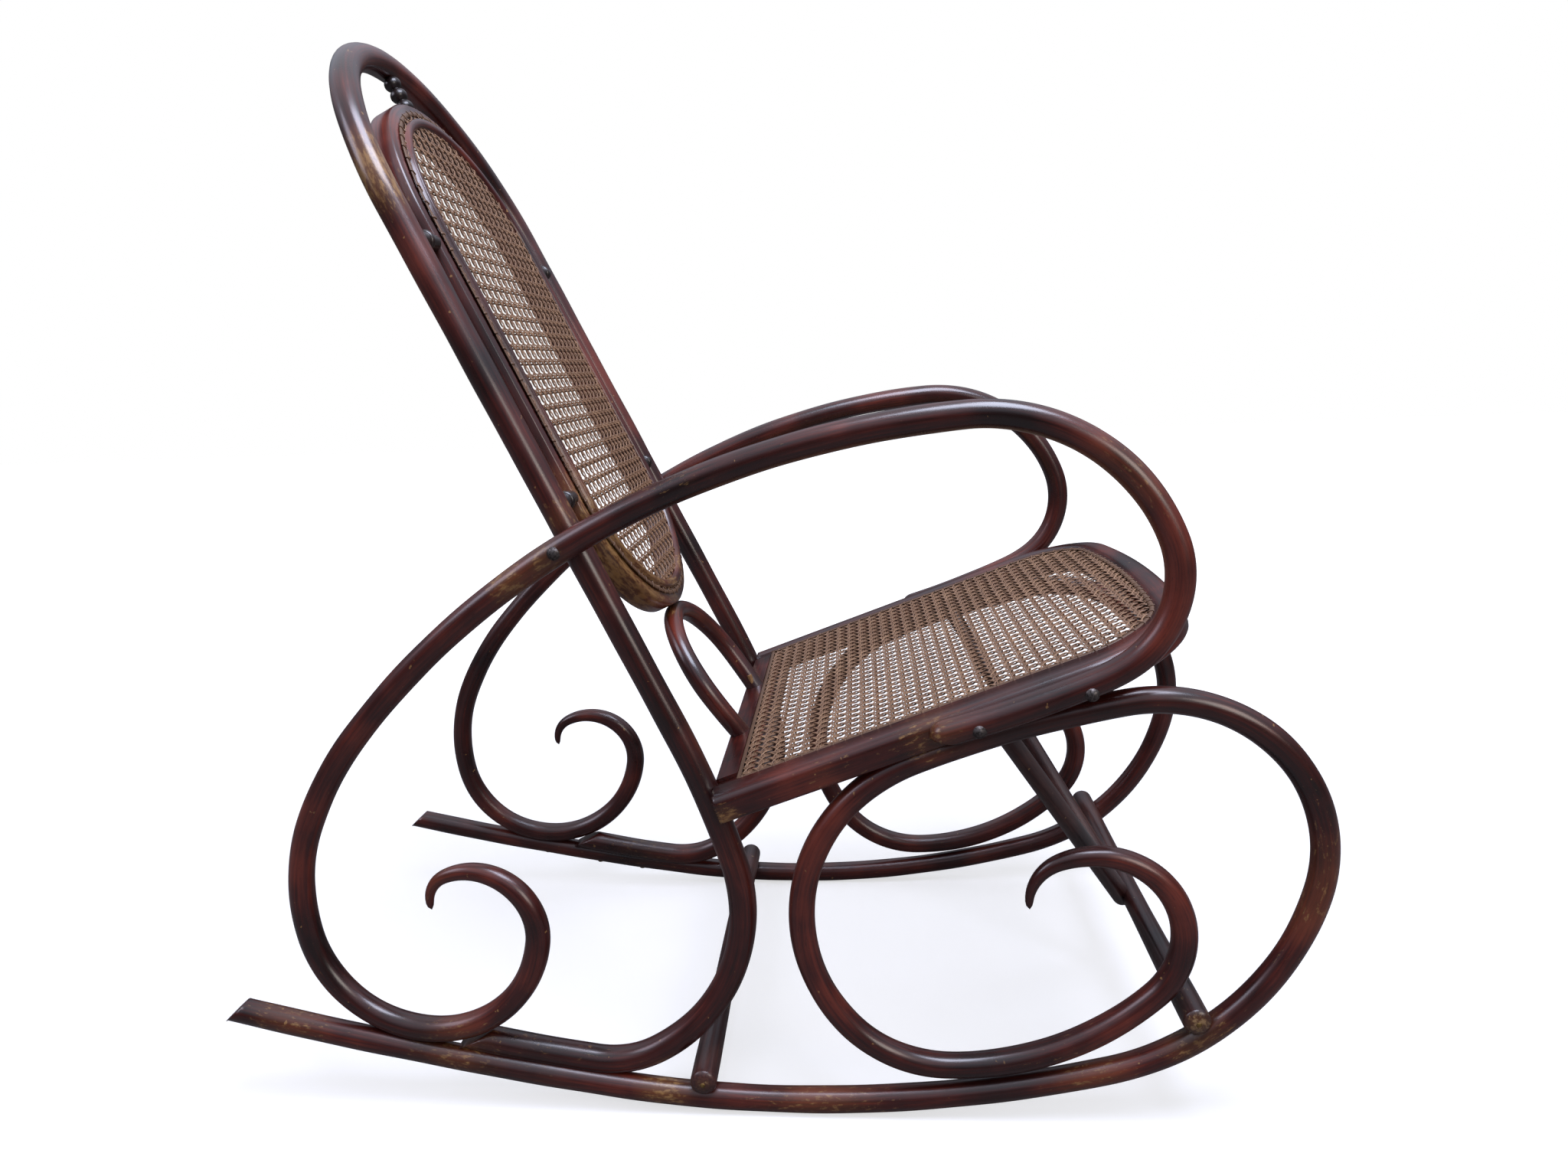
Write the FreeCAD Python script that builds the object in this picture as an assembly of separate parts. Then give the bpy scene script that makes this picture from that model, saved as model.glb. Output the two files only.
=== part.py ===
import FreeCAD, Part
import math
import os
from FreeCAD import Vector

# Bentwood rocking chair, millimetres, +Z up. The sitter looks along -Y, so the right side is at -X.
# It is drawn in side elevation first, as (y, z), and tipped at the end to where it balances at rest.

REST_TILT = 2.2             # forward tip from the drawing to rest, degrees

# Rods and their side planes
ROD = 24.5                  # arm and runner rods, diameter
HOOP_ROD = 26.5             # back hoop, diameter
RING_ROD = 21.0             # ring under the back panel, diameter
CURL_TIP = 6.0              # diameter at the thin end of a curl
RUNNER_OUT = 231.0          # runner rod, half spacing at y = 0
RUNNER_SPLAY = 0.014        # how much wider a side grows per mm forward
ARM_OUT = 244.6             # arm rod, half spacing at y = 0
ARM_SPLAY = 0.058

# Runner rod: tail, sole, front loop, stretch under the seat, drop, inner curl
RUNNER_START = (619.8, 85.3)
RUNNER_HEADING = 191.9
RUNNER_BENDS = [(4220, -5.35), (1192, -23.4), (246.8, -62.8), (150.8, -112.5), (905, -12.3),
                (168.5, -109.0), (126.3, -48.5), (266, -45.5)]
RUNNER_CURL = [(81.8, -157.5), (43.2, -76.3)]

# Arm rod: lap on the seat rail, front curve, arm, rear sweep, curl resting on the runner
ARM_START = (-71.0, 400.8)
ARM_HEADING = 161.9
ARM_BENDS = [(1081, -8.0), (154, -10.2), (90.5, -77.9), (168.6, -72.1), (834, -44.8), (375, -16.4),
             (203, -34.0), (119.4, -120.0)]
ARM_CURL = [(119.4, -41.8), (62.3, -125.3), (29.7, -79.4)]

# Back hoop: crown at the top of a leaning plane, legs that turn back along the runners
LEAN = 27.1                 # lean of the back from upright, degrees
CROWN = (482.6, 1015.9)     # rod centre at the crown
CROWN_BEND = (210.0, 25.0)
SHOULDER_BEND = (181.7, 63.4)
LEG_STRAIGHT = 528.1
FOOT_BENDS = [(886, 9.0), (172, 77.6), (103, 37.0), (1570, 5.0)]

# Back panel: long oval rim, hung inside the hoop
RIM_WIDTH = 28.0            # across its face
RIM_DEPTH = 34.0            # front to back
RIM_TOP = 64.5              # rim centre line at its top, below the hoop's crown
RIM_CROWN = (161.0, 24.0)
RIM_SHOULDER = (129.1, 64.4)
RIM_SIDE = 285.0            # straight side
RIM_LOWER = 98.0            # radius of the lower corners
RIM_BASE_TURN = 64.5        # half the turn of the base
RIM_ROUND = 6.0

# Seat: flat bent frame, tilted up to the front
SEAT_TILT = 22.0
SEAT_REAR = (124.5, 334.8)  # top edge at the back
SEAT_HALF = 245.0
SEAT_LENGTH = 474.0
SEAT_BOW = 1280.0
SEAT_CORNER = 115.0
RAIL_WIDTH = 45.0           # side rails
REAR_RAIL_WIDTH = 38.0
FRONT_RAIL_WIDTH = 40.0
RAIL_DEPTH = 27.0
RAIL_ROUND = 8.0
RAIL_LOWER_ROUND = 4.0
TENON = 22.0

# Cane: thickness of the net, its landings on the wood, the binding round it, one gap and its pitch
CANE = 2.4
SEAT_LANDING = 11.0
BACK_LANDING = 6.0
BINDING = 5.0
BINDING_DEPTH = 4.0
SEAT_PITCH = 25.0
BACK_PITCH = 23.0
GAP = 0.56                  # gap width as a share of the pitch
BACK_CANE_DEPTH = 12.0      # back net, forward of the panel's middle

# Ring: horseshoe loop on the rear rail, under the panel
RING_RADIUS = 86.0
RING_LEG_BEND = (222.0, 15.4)
RING_FOOT = 11.0            # foot centre, forward of the seat's rear edge
RING_TOP = (195.0, 448.5)

# Stretchers and braces
FRONT_STRETCHER = (-324.0, 129.5)
REAR_STRETCHER = (136.0, 37.0)
STRETCHER_END = 26.0        # diameter at the ends
STRETCHER_WAIST = 23.0      # diameter in the middle
STRETCHER_OVERHANG = 16.0   # past the runner rod's centre
DOME = 6.0
BRACE_TOP = (211.0, -127.0, 412.0)
BRACE_FOOT = (14.0, -310.0, 133.0)
BRACE_END = 22.0
BRACE_TIP = 18.0
BRACE_PAST = 12.0

# Small turned pieces
SPINDLE_BEAD = 13.0
SPACER = 15.0
SPACER_FORWARD = 5.0
SPACERS_DOWN = [215.0, 473.0]   # along the leg from the crown

# Fasteners, as (y, z) or y along the rods
ARM_BOLTS = [(-112.6, 411.9), (-204.2, 449.0)]
CROSSING_BOLT = (258.5, 559.0)
POST_BOLT_DOWN = 773.5
FOOT_SCREWS = [290.0, 350.0]
CURL_SCREWS = [426.0]
RAIL_SCREW = (-75.0, 384.0)
BOLT = 6.0
BOLT_HEAD = 12.0
SCREW = 4.0
SCREW_HEAD = 8.0


def turned(heading, radius, turn):
    """Offset along an arc that starts at a heading, both angles in degrees."""
    h = math.radians(heading)
    a = math.radians(turn)
    side = 1.0 if turn > 0 else -1.0
    dy = side * radius * (math.sin(h + a) - math.sin(h))
    dz = -side * radius * (math.cos(h + a) - math.cos(h))
    return dy, dz


def bent_line(place, start, heading, bends):
    """Edges of a line of tangent bends, (radius, turn); radius 0 is a straight of that length."""
    edges = []
    y, z = start
    for radius, turn in bends:
        if radius == 0:
            dy = turn * math.cos(math.radians(heading))
            dz = turn * math.sin(math.radians(heading))
            edges.append(Part.LineSegment(place(y, z), place(y + dy, z + dz)).toShape())
        else:
            my, mz = turned(heading, radius, turn / 2)
            dy, dz = turned(heading, radius, turn)
            arc = Part.Arc(place(y, z), place(y + my, z + mz), place(y + dy, z + dz))
            edges.append(arc.toShape())
            heading += turn
        y += dy
        z += dz
    return edges, (y, z), heading


def disc(centre, axis, diameter):
    return Part.Face(Part.Wire(Part.makeCircle(diameter / 2, centre, axis)))


def round_rod(edges, diameter):
    first = edges[0]
    start = first.valueAt(first.FirstParameter)
    along = first.tangentAt(first.FirstParameter)
    return Part.Wire(edges).makePipe(disc(start, along, diameter))


def tapered_curl(place, start, heading, bends, diameter, tip, normal):
    """A rod that thins evenly along its bends to a rounded tip."""
    total = sum(radius * math.radians(abs(turn)) for radius, turn in bends)
    step = 16.0
    rings = []
    done = 0.0
    y, z = start
    for number, (radius, turn) in enumerate(bends):
        length = radius * math.radians(abs(turn))
        count = int(math.ceil(length / step))
        last = number == len(bends) - 1
        for i in range(count + (1 if last else 0)):
            dy, dz = turned(heading, radius, turn * i / count) if i else (0.0, 0.0)
            h = math.radians(heading + turn * i / count)
            here = place(y + dy, z + dz)
            along = place(y + dy + math.cos(h), z + dz + math.sin(h)) - here
            share = (done + length * i / count) / total
            size = diameter + (tip - diameter) * share ** 3
            circle = Part.Circle(here, along, size / 2)
            circle.XAxis = normal
            rings.append(Part.Wire(circle.toShape()))
        dy, dz = turned(heading, radius, turn)
        y += dy
        z += dz
        heading += turn
        done += length
    return Part.makeLoft(rings, True, False)


def side_plane(out, splay):
    """Places side elevation (y, z) on the right-hand side plane, which toes out to the front."""
    run = math.hypot(1.0, splay)
    return lambda y, z: Vector(-out + splay * y / run, y / run, z)


def mirrored(shape):
    return shape.mirror(Vector(0, 0, 0), Vector(1, 0, 0))


def slab(corner, along, across, up, sizes):
    """Box from a corner along three directions."""
    a = Vector(along).normalize() * sizes[0]
    b = Vector(across).normalize() * sizes[1]
    c = Vector(up).normalize() * sizes[2]
    face = Part.Face(Part.makePolygon([corner, corner + a, corner + a + b, corner + b, corner]))
    return face.extrude(c)


def domed_cap(centre, outward, radius, rise):
    """Shallow round cap on the end of a rod."""
    ball = (radius ** 2 + rise ** 2) / (2 * rise)
    sphere = Part.makeSphere(ball, centre + outward * (rise - ball), outward)
    return sphere.common(Part.makeCylinder(radius, rise, centre, outward))


def screw(head_at, inward, length, head=SCREW_HEAD, shank=SCREW, dome=2.6):
    """Round-headed fastener: shank, and a dome that stands outside."""
    direction = Vector(inward).normalize()
    body = Part.makeCylinder(shank / 2, length, head_at, direction)
    cap = domed_cap(head_at, direction * -1, head / 2, dome)
    return body.fuse(cap).removeSplitter()


def sunk_screw(head_at, inward, length):
    """Countersunk screw whose flat head is level with head_at."""
    direction = Vector(inward).normalize()
    taper = (SCREW_HEAD - SCREW) / 2
    cone = Part.makeCone(SCREW_HEAD / 2, SCREW / 2, taper, head_at, direction)
    return cone.fuse(Part.makeCylinder(SCREW / 2, length, head_at, direction)).removeSplitter()


def runner_rod():
    place = side_plane(RUNNER_OUT, RUNNER_SPLAY)
    edges, start, heading = bent_line(place, RUNNER_START, RUNNER_HEADING, RUNNER_BENDS)
    normal = Vector(1, -RUNNER_SPLAY, 0)
    body = round_rod(edges, ROD)
    curl = tapered_curl(place, start, heading, RUNNER_CURL, ROD, CURL_TIP, normal)
    rod = body.fuse(curl)
    # tail scarf: the top is cut away down to a thin toe
    toe = place(RUNNER_START[0] + 1.0, RUNNER_START[1] - 11.0)
    return rod.cut(slab(toe + Vector(-40, 0, 0), (1, 0, 0), (0, -24, 23), (0, 23, 24), (80, 60, 40)))


def arm_rod():
    place = side_plane(ARM_OUT, ARM_SPLAY)
    edges, start, heading = bent_line(place, ARM_START, ARM_HEADING, ARM_BENDS)
    normal = Vector(1, -ARM_SPLAY, 0)
    body = round_rod(edges, ROD)
    curl = tapered_curl(place, start, heading, ARM_CURL, ROD, CURL_TIP, normal)
    rod = body.fuse(curl)
    # the front end is cut to a blunt spoon, its underside sloping up to the tip
    heel = place(ARM_START[0] - 22.0, ARM_START[1] - 4.0)
    return rod.cut(slab(heel + Vector(-40, 0, 0), (1, 0, 0), (0, 24, 4), (0, 4, -24), (80, 60, 30)))


BACK_DOWN = Vector(0, -math.sin(math.radians(LEAN)), -math.cos(math.radians(LEAN)))
BACK_FRONT = Vector(0, -math.cos(math.radians(LEAN)), math.sin(math.radians(LEAN)))
CROWN_AT = Vector(0, CROWN[0], CROWN[1])


def on_back(side, down, forward=0.0):
    """A point of the leaning back plane: sideways, down from the crown, and forward of it."""
    return CROWN_AT + Vector(side, 0, 0) + BACK_DOWN * down + BACK_FRONT * forward


def hoop_half():
    """Right-hand half of the hoop's centre line, crown to foot."""
    turn = CROWN_BEND[1] + SHOULDER_BEND[1]
    upper = [CROWN_BEND, SHOULDER_BEND, (0, LEG_STRAIGHT)]
    edges, end, heading = bent_line(lambda a, b: on_back(-a, b), (0.0, 0.0), 0.0, upper)
    foot_start = on_back(-end[0], end[1])
    outward = math.tan(math.radians(90.0 - turn)) / math.cos(math.radians(LEAN))
    stretch = math.hypot(1.0, outward)

    def lower(y, z):
        fall = (z - foot_start.z) / stretch
        return Vector(foot_start.x + outward * fall, y, foot_start.z + fall)

    start = (foot_start.y, foot_start.z)
    foot, end, heading = bent_line(lower, start, -90.0 - LEAN, FOOT_BENDS)
    return edges + foot


def back_hoop():
    edges = hoop_half()
    half = round_rod(edges, HOOP_ROD)
    last = edges[-1]
    tip = last.valueAt(last.LastParameter)
    along = last.tangentAt(last.LastParameter)
    # foot scarf: a long bevel down to the runner
    rise = Vector(0, -along.z, along.y)
    toe = tip - rise * 11.0 - Vector(40, 0, 0)
    half = half.cut(slab(toe, (1, 0, 0), along * -28 + rise * 22, rise * 28 + along * 22, (80, 70, 40)))
    return half.fuse(mirrored(half)).removeSplitter()


def oval(offset, forward):
    """Closed outline of the back panel, offset sideways from the rim's centre line."""
    lean = 90.0 - RIM_CROWN[1] - RIM_SHOULDER[1]
    base_radius = rim_base_radius()
    bends = [(RIM_CROWN[0] + offset, RIM_CROWN[1]), (RIM_SHOULDER[0] + offset, RIM_SHOULDER[1]),
             (0, RIM_SIDE), (RIM_LOWER + offset, 90.0 + lean - RIM_BASE_TURN),
             (base_radius + offset, RIM_BASE_TURN)]
    start = (0.0, RIM_TOP - offset)
    right, end, heading = bent_line(lambda a, b: on_back(-a, b, forward), start, 0.0, bends)
    left = [mirrored(edge) for edge in right]
    return Part.Wire(Part.__sortEdges__(right + left))


def rim_base_radius():
    """Radius of the base that closes the oval on its middle line."""
    splay = math.radians(90.0 - RIM_CROWN[1] - RIM_SHOULDER[1])
    crown = math.radians(RIM_CROWN[1])
    base = math.radians(RIM_BASE_TURN)
    width = RIM_CROWN[0] * math.sin(crown)
    width += RIM_SHOULDER[0] * (math.cos(splay) - math.sin(crown))
    width += RIM_SIDE * math.sin(splay)
    width -= RIM_LOWER * (math.cos(splay) - math.sin(base))
    return width / math.sin(base)


def band(outer, inner, depth):
    """Flat band between two outlines, thickened."""
    return Part.makeFace([outer, inner], "Part::FaceMakerBullseye").extrude(depth)


def octagon(centre, across, up, size):
    """Wire of a square gap with its corners cut off."""
    near = size / 2
    far = size / 2 * 0.42
    spots = [(near, -far), (near, far), (far, near), (-far, near),
             (-near, far), (-near, -far), (-far, -near), (far, -near)]
    points = [centre + across * a + up * b for a, b in spots]
    return Part.makePolygon(points + points[:1])


def cane_net(outline, opening, origin, across, up, pitch, reach, thickness):
    """One face with a grid of gaps inside the opening, thickened; returns it with the gap count."""
    size = pitch * GAP
    inside = Part.Face(opening)
    gaps = []
    rows = int(reach / pitch)
    for row in range(-rows, rows + 1):
        for column in range(-rows, rows + 1):
            centre = origin + across * (column * pitch) + up * (row * pitch)
            gap = octagon(centre, across, up, size)
            if all(inside.isInside(v.Point, 0.01, True) for v in gap.Vertexes):
                gaps.append(gap)
    return Part.makeFace([outline] + gaps, "Part::FaceMakerBullseye").extrude(thickness), len(gaps)


def back_panel():
    half = RIM_DEPTH / 2
    rim = band(oval(RIM_WIDTH / 2, -half), oval(-RIM_WIDTH / 2, -half), BACK_FRONT * RIM_DEPTH)
    rim = rim.makeFillet(RIM_ROUND, [e for e in rim.Edges if is_rim_edge(e)])
    inner = -RIM_WIDTH / 2
    seat = Part.Face(oval(inner + BACK_LANDING, BACK_CANE_DEPTH)).extrude(BACK_FRONT * CANE)
    groove = band(oval(inner + BACK_LANDING + BINDING, BACK_CANE_DEPTH + CANE - BINDING_DEPTH),
                  oval(inner + BACK_LANDING, BACK_CANE_DEPTH + CANE - BINDING_DEPTH),
                  BACK_FRONT * BINDING_DEPTH)
    opened = Part.Face(oval(inner + BACK_LANDING + BINDING, BACK_CANE_DEPTH + CANE))
    rim = rim.cut(seat).cut(groove).cut(opened.extrude(BACK_FRONT * RIM_DEPTH))
    middle = on_back(0, RIM_TOP + 279.0, BACK_CANE_DEPTH)
    net, gaps = cane_net(oval(inner + BACK_LANDING, BACK_CANE_DEPTH), oval(inner - 1.0, BACK_CANE_DEPTH),
                         middle, Vector(1, 0, 0), BACK_DOWN * -1, BACK_PITCH, 300.0,
                         BACK_FRONT * CANE)
    print("back cane gaps", gaps)
    return rim, net, groove


def is_rim_edge(edge):
    """True for the long outline edges of a band, false for the seams through its depth."""
    return abs((edge.valueAt(edge.LastParameter) - edge.valueAt(edge.FirstParameter)).dot(BACK_FRONT)) < 1.0


SEAT_FORWARD = Vector(0, -math.cos(math.radians(SEAT_TILT)), math.sin(math.radians(SEAT_TILT)))
SEAT_UP = Vector(0, math.sin(math.radians(SEAT_TILT)), math.cos(math.radians(SEAT_TILT)))
SEAT_AT = Vector(0, SEAT_REAR[0], SEAT_REAR[1])


def on_seat(side, forward, up=0.0):
    """A point of the seat: sideways, forward of its rear edge, above its top."""
    return SEAT_AT + Vector(side, 0, 0) + SEAT_FORWARD * forward + SEAT_UP * up


def seat_outline(side, rear, front, up):
    """Closed outline, inset at sides, rear and front: round front corners, bowed front."""
    corner = SEAT_CORNER - side
    half = SEAT_HALF - side
    bow = SEAT_BOW - front
    bow_centre = SEAT_LENGTH - SEAT_BOW
    middle = half - corner
    along = bow_centre + math.sqrt((bow - corner) ** 2 - middle ** 2)
    reach = bow / (bow - corner)
    touch = (middle * reach, bow_centre + (along - bow_centre) * reach)
    turn = math.atan2(touch[1] - along, touch[0] - middle) / 2
    knee = (middle + corner * math.cos(turn), along + corner * math.sin(turn))
    spots = {"rear": (half, rear), "flank": (half, along), "knee": knee, "touch": touch}
    right = {name: on_seat(-x, a, up) for name, (x, a) in spots.items()}
    left = {name: on_seat(x, a, up) for name, (x, a) in spots.items()}
    tip = on_seat(0, bow_centre + bow, up)
    edges = [Part.LineSegment(left["rear"], right["rear"]).toShape(),
             Part.LineSegment(right["rear"], right["flank"]).toShape(),
             Part.Arc(right["flank"], right["knee"], right["touch"]).toShape(),
             Part.Arc(right["touch"], tip, left["touch"]).toShape(),
             Part.Arc(left["touch"], left["knee"], left["flank"]).toShape(),
             Part.LineSegment(left["flank"], left["rear"]).toShape()]
    return Part.Wire(edges)


def rail_edges(frame, up):
    """Long outer edges of the bent rail at one height, without the edge along the back."""
    level = SEAT_AT + SEAT_UP * up
    return [edge for edge in frame.Edges
            if all(abs((edge.valueAt(end) - level).dot(SEAT_UP)) < 0.1
                   for end in (edge.FirstParameter, edge.LastParameter))
            and (edge.CenterOfMass - SEAT_AT).dot(SEAT_FORWARD) > 1.0]


def seat_pieces():
    deep = SEAT_UP * RAIL_DEPTH
    widths = (RAIL_WIDTH, REAR_RAIL_WIDTH, FRONT_RAIL_WIDTH)
    shoulder = [width - SEAT_LANDING for width in widths]
    outside = [inset - BINDING for inset in shoulder]
    frame = Part.Face(seat_outline(0.0, 0.0, 0.0, -RAIL_DEPTH)).extrude(deep)
    frame = frame.makeFillet(RAIL_ROUND, rail_edges(frame, 0.0))
    frame = frame.makeFillet(RAIL_LOWER_ROUND, rail_edges(frame, -RAIL_DEPTH))
    frame = frame.cut(Part.Face(seat_outline(*widths, -RAIL_DEPTH)).extrude(deep))
    landing = seat_outline(*shoulder, -CANE)
    frame = frame.cut(Part.Face(landing).extrude(SEAT_UP * CANE))
    binding = band(seat_outline(*outside, -BINDING_DEPTH), seat_outline(*shoulder, -BINDING_DEPTH),
                   SEAT_UP * BINDING_DEPTH)
    frame = frame.cut(binding)
    # the rear rail sits between the side rails on a tenon at each end
    inner = SEAT_HALF - RAIL_WIDTH
    rear = slab(on_seat(-inner, 0, -RAIL_DEPTH), (1, 0, 0), SEAT_FORWARD, SEAT_UP,
                (2 * inner, REAR_RAIL_WIDTH, RAIL_DEPTH))
    tenon = slab(on_seat(-inner - TENON, REAR_RAIL_WIDTH * 0.3, -RAIL_DEPTH * 0.7), (1, 0, 0),
                 SEAT_FORWARD, SEAT_UP, (2 * (inner + TENON), REAR_RAIL_WIDTH * 0.4, RAIL_DEPTH * 0.4))
    rear_rail = frame.common(rear).fuse(tenon).removeSplitter()
    frame = frame.cut(rear).cut(tenon)
    origin = on_seat(0, SEAT_LENGTH / 2, -CANE)
    opening = seat_outline(*[width + 1.0 for width in widths], -CANE)
    net, gaps = cane_net(landing, opening, origin, Vector(1, 0, 0), SEAT_FORWARD, SEAT_PITCH, 240.0,
                         SEAT_UP * CANE)
    print("seat cane gaps", gaps)
    return frame, rear_rail, net, binding


def ring_loop():
    foot = on_seat(0, RING_FOOT)
    top = Vector(0, RING_TOP[0], RING_TOP[1])
    up = (top - foot).normalize()
    rise = top.sub(foot).Length
    radius, turn = RING_LEG_BEND
    leg_rise = radius * math.sin(math.radians(turn))
    inward = radius * (1 - math.cos(math.radians(turn)))
    lift = rise - RING_RADIUS - leg_rise
    bends = [(0, 20.0), (radius, -turn), (RING_RADIUS, -180.0), (radius, -turn), (0, 20.0)]
    lean = math.radians(90.0 + turn)
    start = (-(RING_RADIUS - inward) - 20.0 * math.cos(lean), lift - 20.0 * math.sin(lean))
    edges, end, heading = bent_line(lambda a, b: foot + Vector(-a, 0, 0) + up * b, start, 90.0 + turn, bends)
    below = slab(on_seat(-300, -100, -60), (1, 0, 0), SEAT_FORWARD, SEAT_UP, (600, 300, 60))
    return round_rod(edges, RING_ROD).cut(below)


def stretcher(at, half):
    """Turned cross rod: thickest near its ends, slimmer in the middle, domed at both ends."""
    y, z = at
    rim = half - DOME
    end, waist = STRETCHER_END / 2, STRETCHER_WAIST / 2
    rod = Part.makeCylinder(waist, 120.0, Vector(-60.0, y, z), Vector(1, 0, 0))
    for side in (-1, 1):
        out = Vector(side, 0, 0)
        taper = rim - 34.0 - 60.0
        rod = rod.fuse(Part.makeCone(waist, end, taper, Vector(60.0 * side, y, z), out))
        rod = rod.fuse(Part.makeCylinder(end, 34.0, Vector((rim - 34.0) * side, y, z), out))
        rod = rod.fuse(domed_cap(Vector(rim * side, y, z), out, end, DOME))
    return rod


def stretcher_half(at):
    return RUNNER_OUT - RUNNER_SPLAY * at[0] + STRETCHER_OVERHANG


def brace():
    top = Vector(-BRACE_TOP[0], BRACE_TOP[1], BRACE_TOP[2])
    foot = Vector(-BRACE_FOOT[0], BRACE_FOOT[1], BRACE_FOOT[2])
    down = (foot - top).normalize()
    length = (foot - top).Length + BRACE_PAST
    rod = Part.makeCone(BRACE_TIP / 2, BRACE_END / 2, length, top, down)
    tip = Part.makeSphere(BRACE_END / 2, top + down * length)
    return rod.fuse(tip)


def spindle():
    """Three beads between the hoop's crown and the rim's top, with a tenon in each."""
    upper = HOOP_ROD / 2
    lower = RIM_TOP - RIM_WIDTH / 2
    gap = lower - upper
    bead = gap / 3
    axis = BACK_DOWN
    turned_piece = Part.makeCylinder(SPINDLE_BEAD * 0.3, gap + 20.0, on_back(0, upper - 10.0), axis)
    for i in range(3):
        swell = Part.makeTorus(SPINDLE_BEAD / 2 - bead * 0.42, bead * 0.46,
                               on_back(0, upper + bead * (i + 0.5)), axis)
        core = Part.makeCylinder(SPINDLE_BEAD / 2 - bead * 0.42, bead * 0.9,
                                 on_back(0, upper + bead * (i + 0.05)), axis)
        turned_piece = turned_piece.fuse(swell).fuse(core)
    return turned_piece.removeSplitter()


def leg_side(down):
    """Half spacing of the hoop's legs, down from the crown, past the shoulders."""
    splay = math.radians(90.0 - CROWN_BEND[1] - SHOULDER_BEND[1])
    crown = math.radians(CROWN_BEND[1])
    width = CROWN_BEND[0] * math.sin(crown) + SHOULDER_BEND[0] * (math.cos(splay) - math.sin(crown))
    depth = CROWN_BEND[0] * (1 - math.cos(crown)) + SHOULDER_BEND[0] * (math.cos(crown) - math.sin(splay))
    return width + (down - depth) * math.tan(splay)


def spacer(down):
    """Small turned button from the rim to the hoop's leg, long enough to be trimmed by both."""
    outer = leg_side(down)
    body = Part.makeCylinder(SPACER / 2, 44.0, on_back(-outer, down, SPACER_FORWARD), Vector(1, 0, 0))
    middle = on_back(-outer + HOOP_ROD / 2 + 6.0, down, SPACER_FORWARD)
    bead = Part.makeTorus(SPACER / 2 - 1.0, 3.0, middle, Vector(1, 0, 0))
    return body.fuse(bead).removeSplitter()


def touching(shape, *others):
    """The shape with whatever the others take up cut away, as one solid."""
    for other in others:
        shape = shape.cut(other)
    return max(shape.Solids, key=lambda solid: solid.Volume)


def pair(*shapes):
    """Shapes with their mirror images, as separate solids."""
    solids = [solid for shape in shapes for solid in shape.Solids]
    return Part.makeCompound(solids + [mirrored(solid) for solid in solids])


def runner_side(y):
    return -RUNNER_OUT + RUNNER_SPLAY * y


def arm_side(y):
    return -ARM_OUT + ARM_SPLAY * y


def runner_height(y):
    """Height of the runner's centre line at y, on the stretch that meets the floor."""
    edges, end, heading = bent_line(lambda a, b: Vector(0, a, b), RUNNER_START, RUNNER_HEADING, RUNNER_BENDS)
    line = Part.makeLine(Vector(0, y, -500), Vector(0, y, 1500))
    heights = []
    for edge in edges:
        distance, pairs, info = edge.distToShape(line)
        if distance < 0.01:
            heights.append(pairs[0][0].z)
    return min(heights)


def runner_screws(places, inset, depth, length):
    """Countersunk screws driven up through the runner from below, their heads a little sunk."""
    screws = []
    for y in places:
        head = Vector(runner_side(y) + inset, y, runner_height(y) - ROD / 2 + depth)
        screws.append(sunk_screw(head, Vector(0, 0, 1), length))
    return screws


def fasteners():
    """Groups of like fasteners, right-hand ones only."""
    inward = Vector(1, 0, 0)
    rod = ROD / 2
    groups = {}
    groups["arm_bolts"] = [screw(Vector(arm_side(y) - rod + 0.4, y, z), inward, 52.0, BOLT_HEAD, BOLT, 3.4)
                           for y, z in ARM_BOLTS]
    y, z = CROSSING_BOLT
    outside = Vector(arm_side(y) - rod + 0.4, y, z)
    groups["crossing_bolts"] = [screw(outside, inward, 42.0, BOLT_HEAD, BOLT, 3.4)]
    down = POST_BOLT_DOWN
    back = on_back(-leg_side(down), down, -HOOP_ROD / 2 + 0.4)
    groups["post_bolts"] = [screw(back, SEAT_FORWARD, 66.0, BOLT_HEAD, BOLT, 3.0)]
    groups["foot_screws"] = runner_screws(FOOT_SCREWS, 3.0, 0.6, 34.0)
    groups["curl_screws"] = runner_screws(CURL_SCREWS, 0.0, 0.3, 36.0)
    groups["saddle_screws"] = runner_screws([FRONT_STRETCHER[0], REAR_STRETCHER[0]], 0.0, 0.6, 32.0)
    y, z = RAIL_SCREW
    groups["rail_screws"] = [sunk_screw(Vector(runner_side(y), y, z - rod + 0.6), Vector(0, 0, 1), 36.0)]
    ends = [(-stretcher_half(at), at) for at in (FRONT_STRETCHER, REAR_STRETCHER)]
    groups["stretcher_end_screws"] = [screw(Vector(x + 0.5, at[0], at[1]), inward, 9.0, 6.0, 3.0, 1.4)
                                      for x, at in ends]
    return groups


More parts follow.
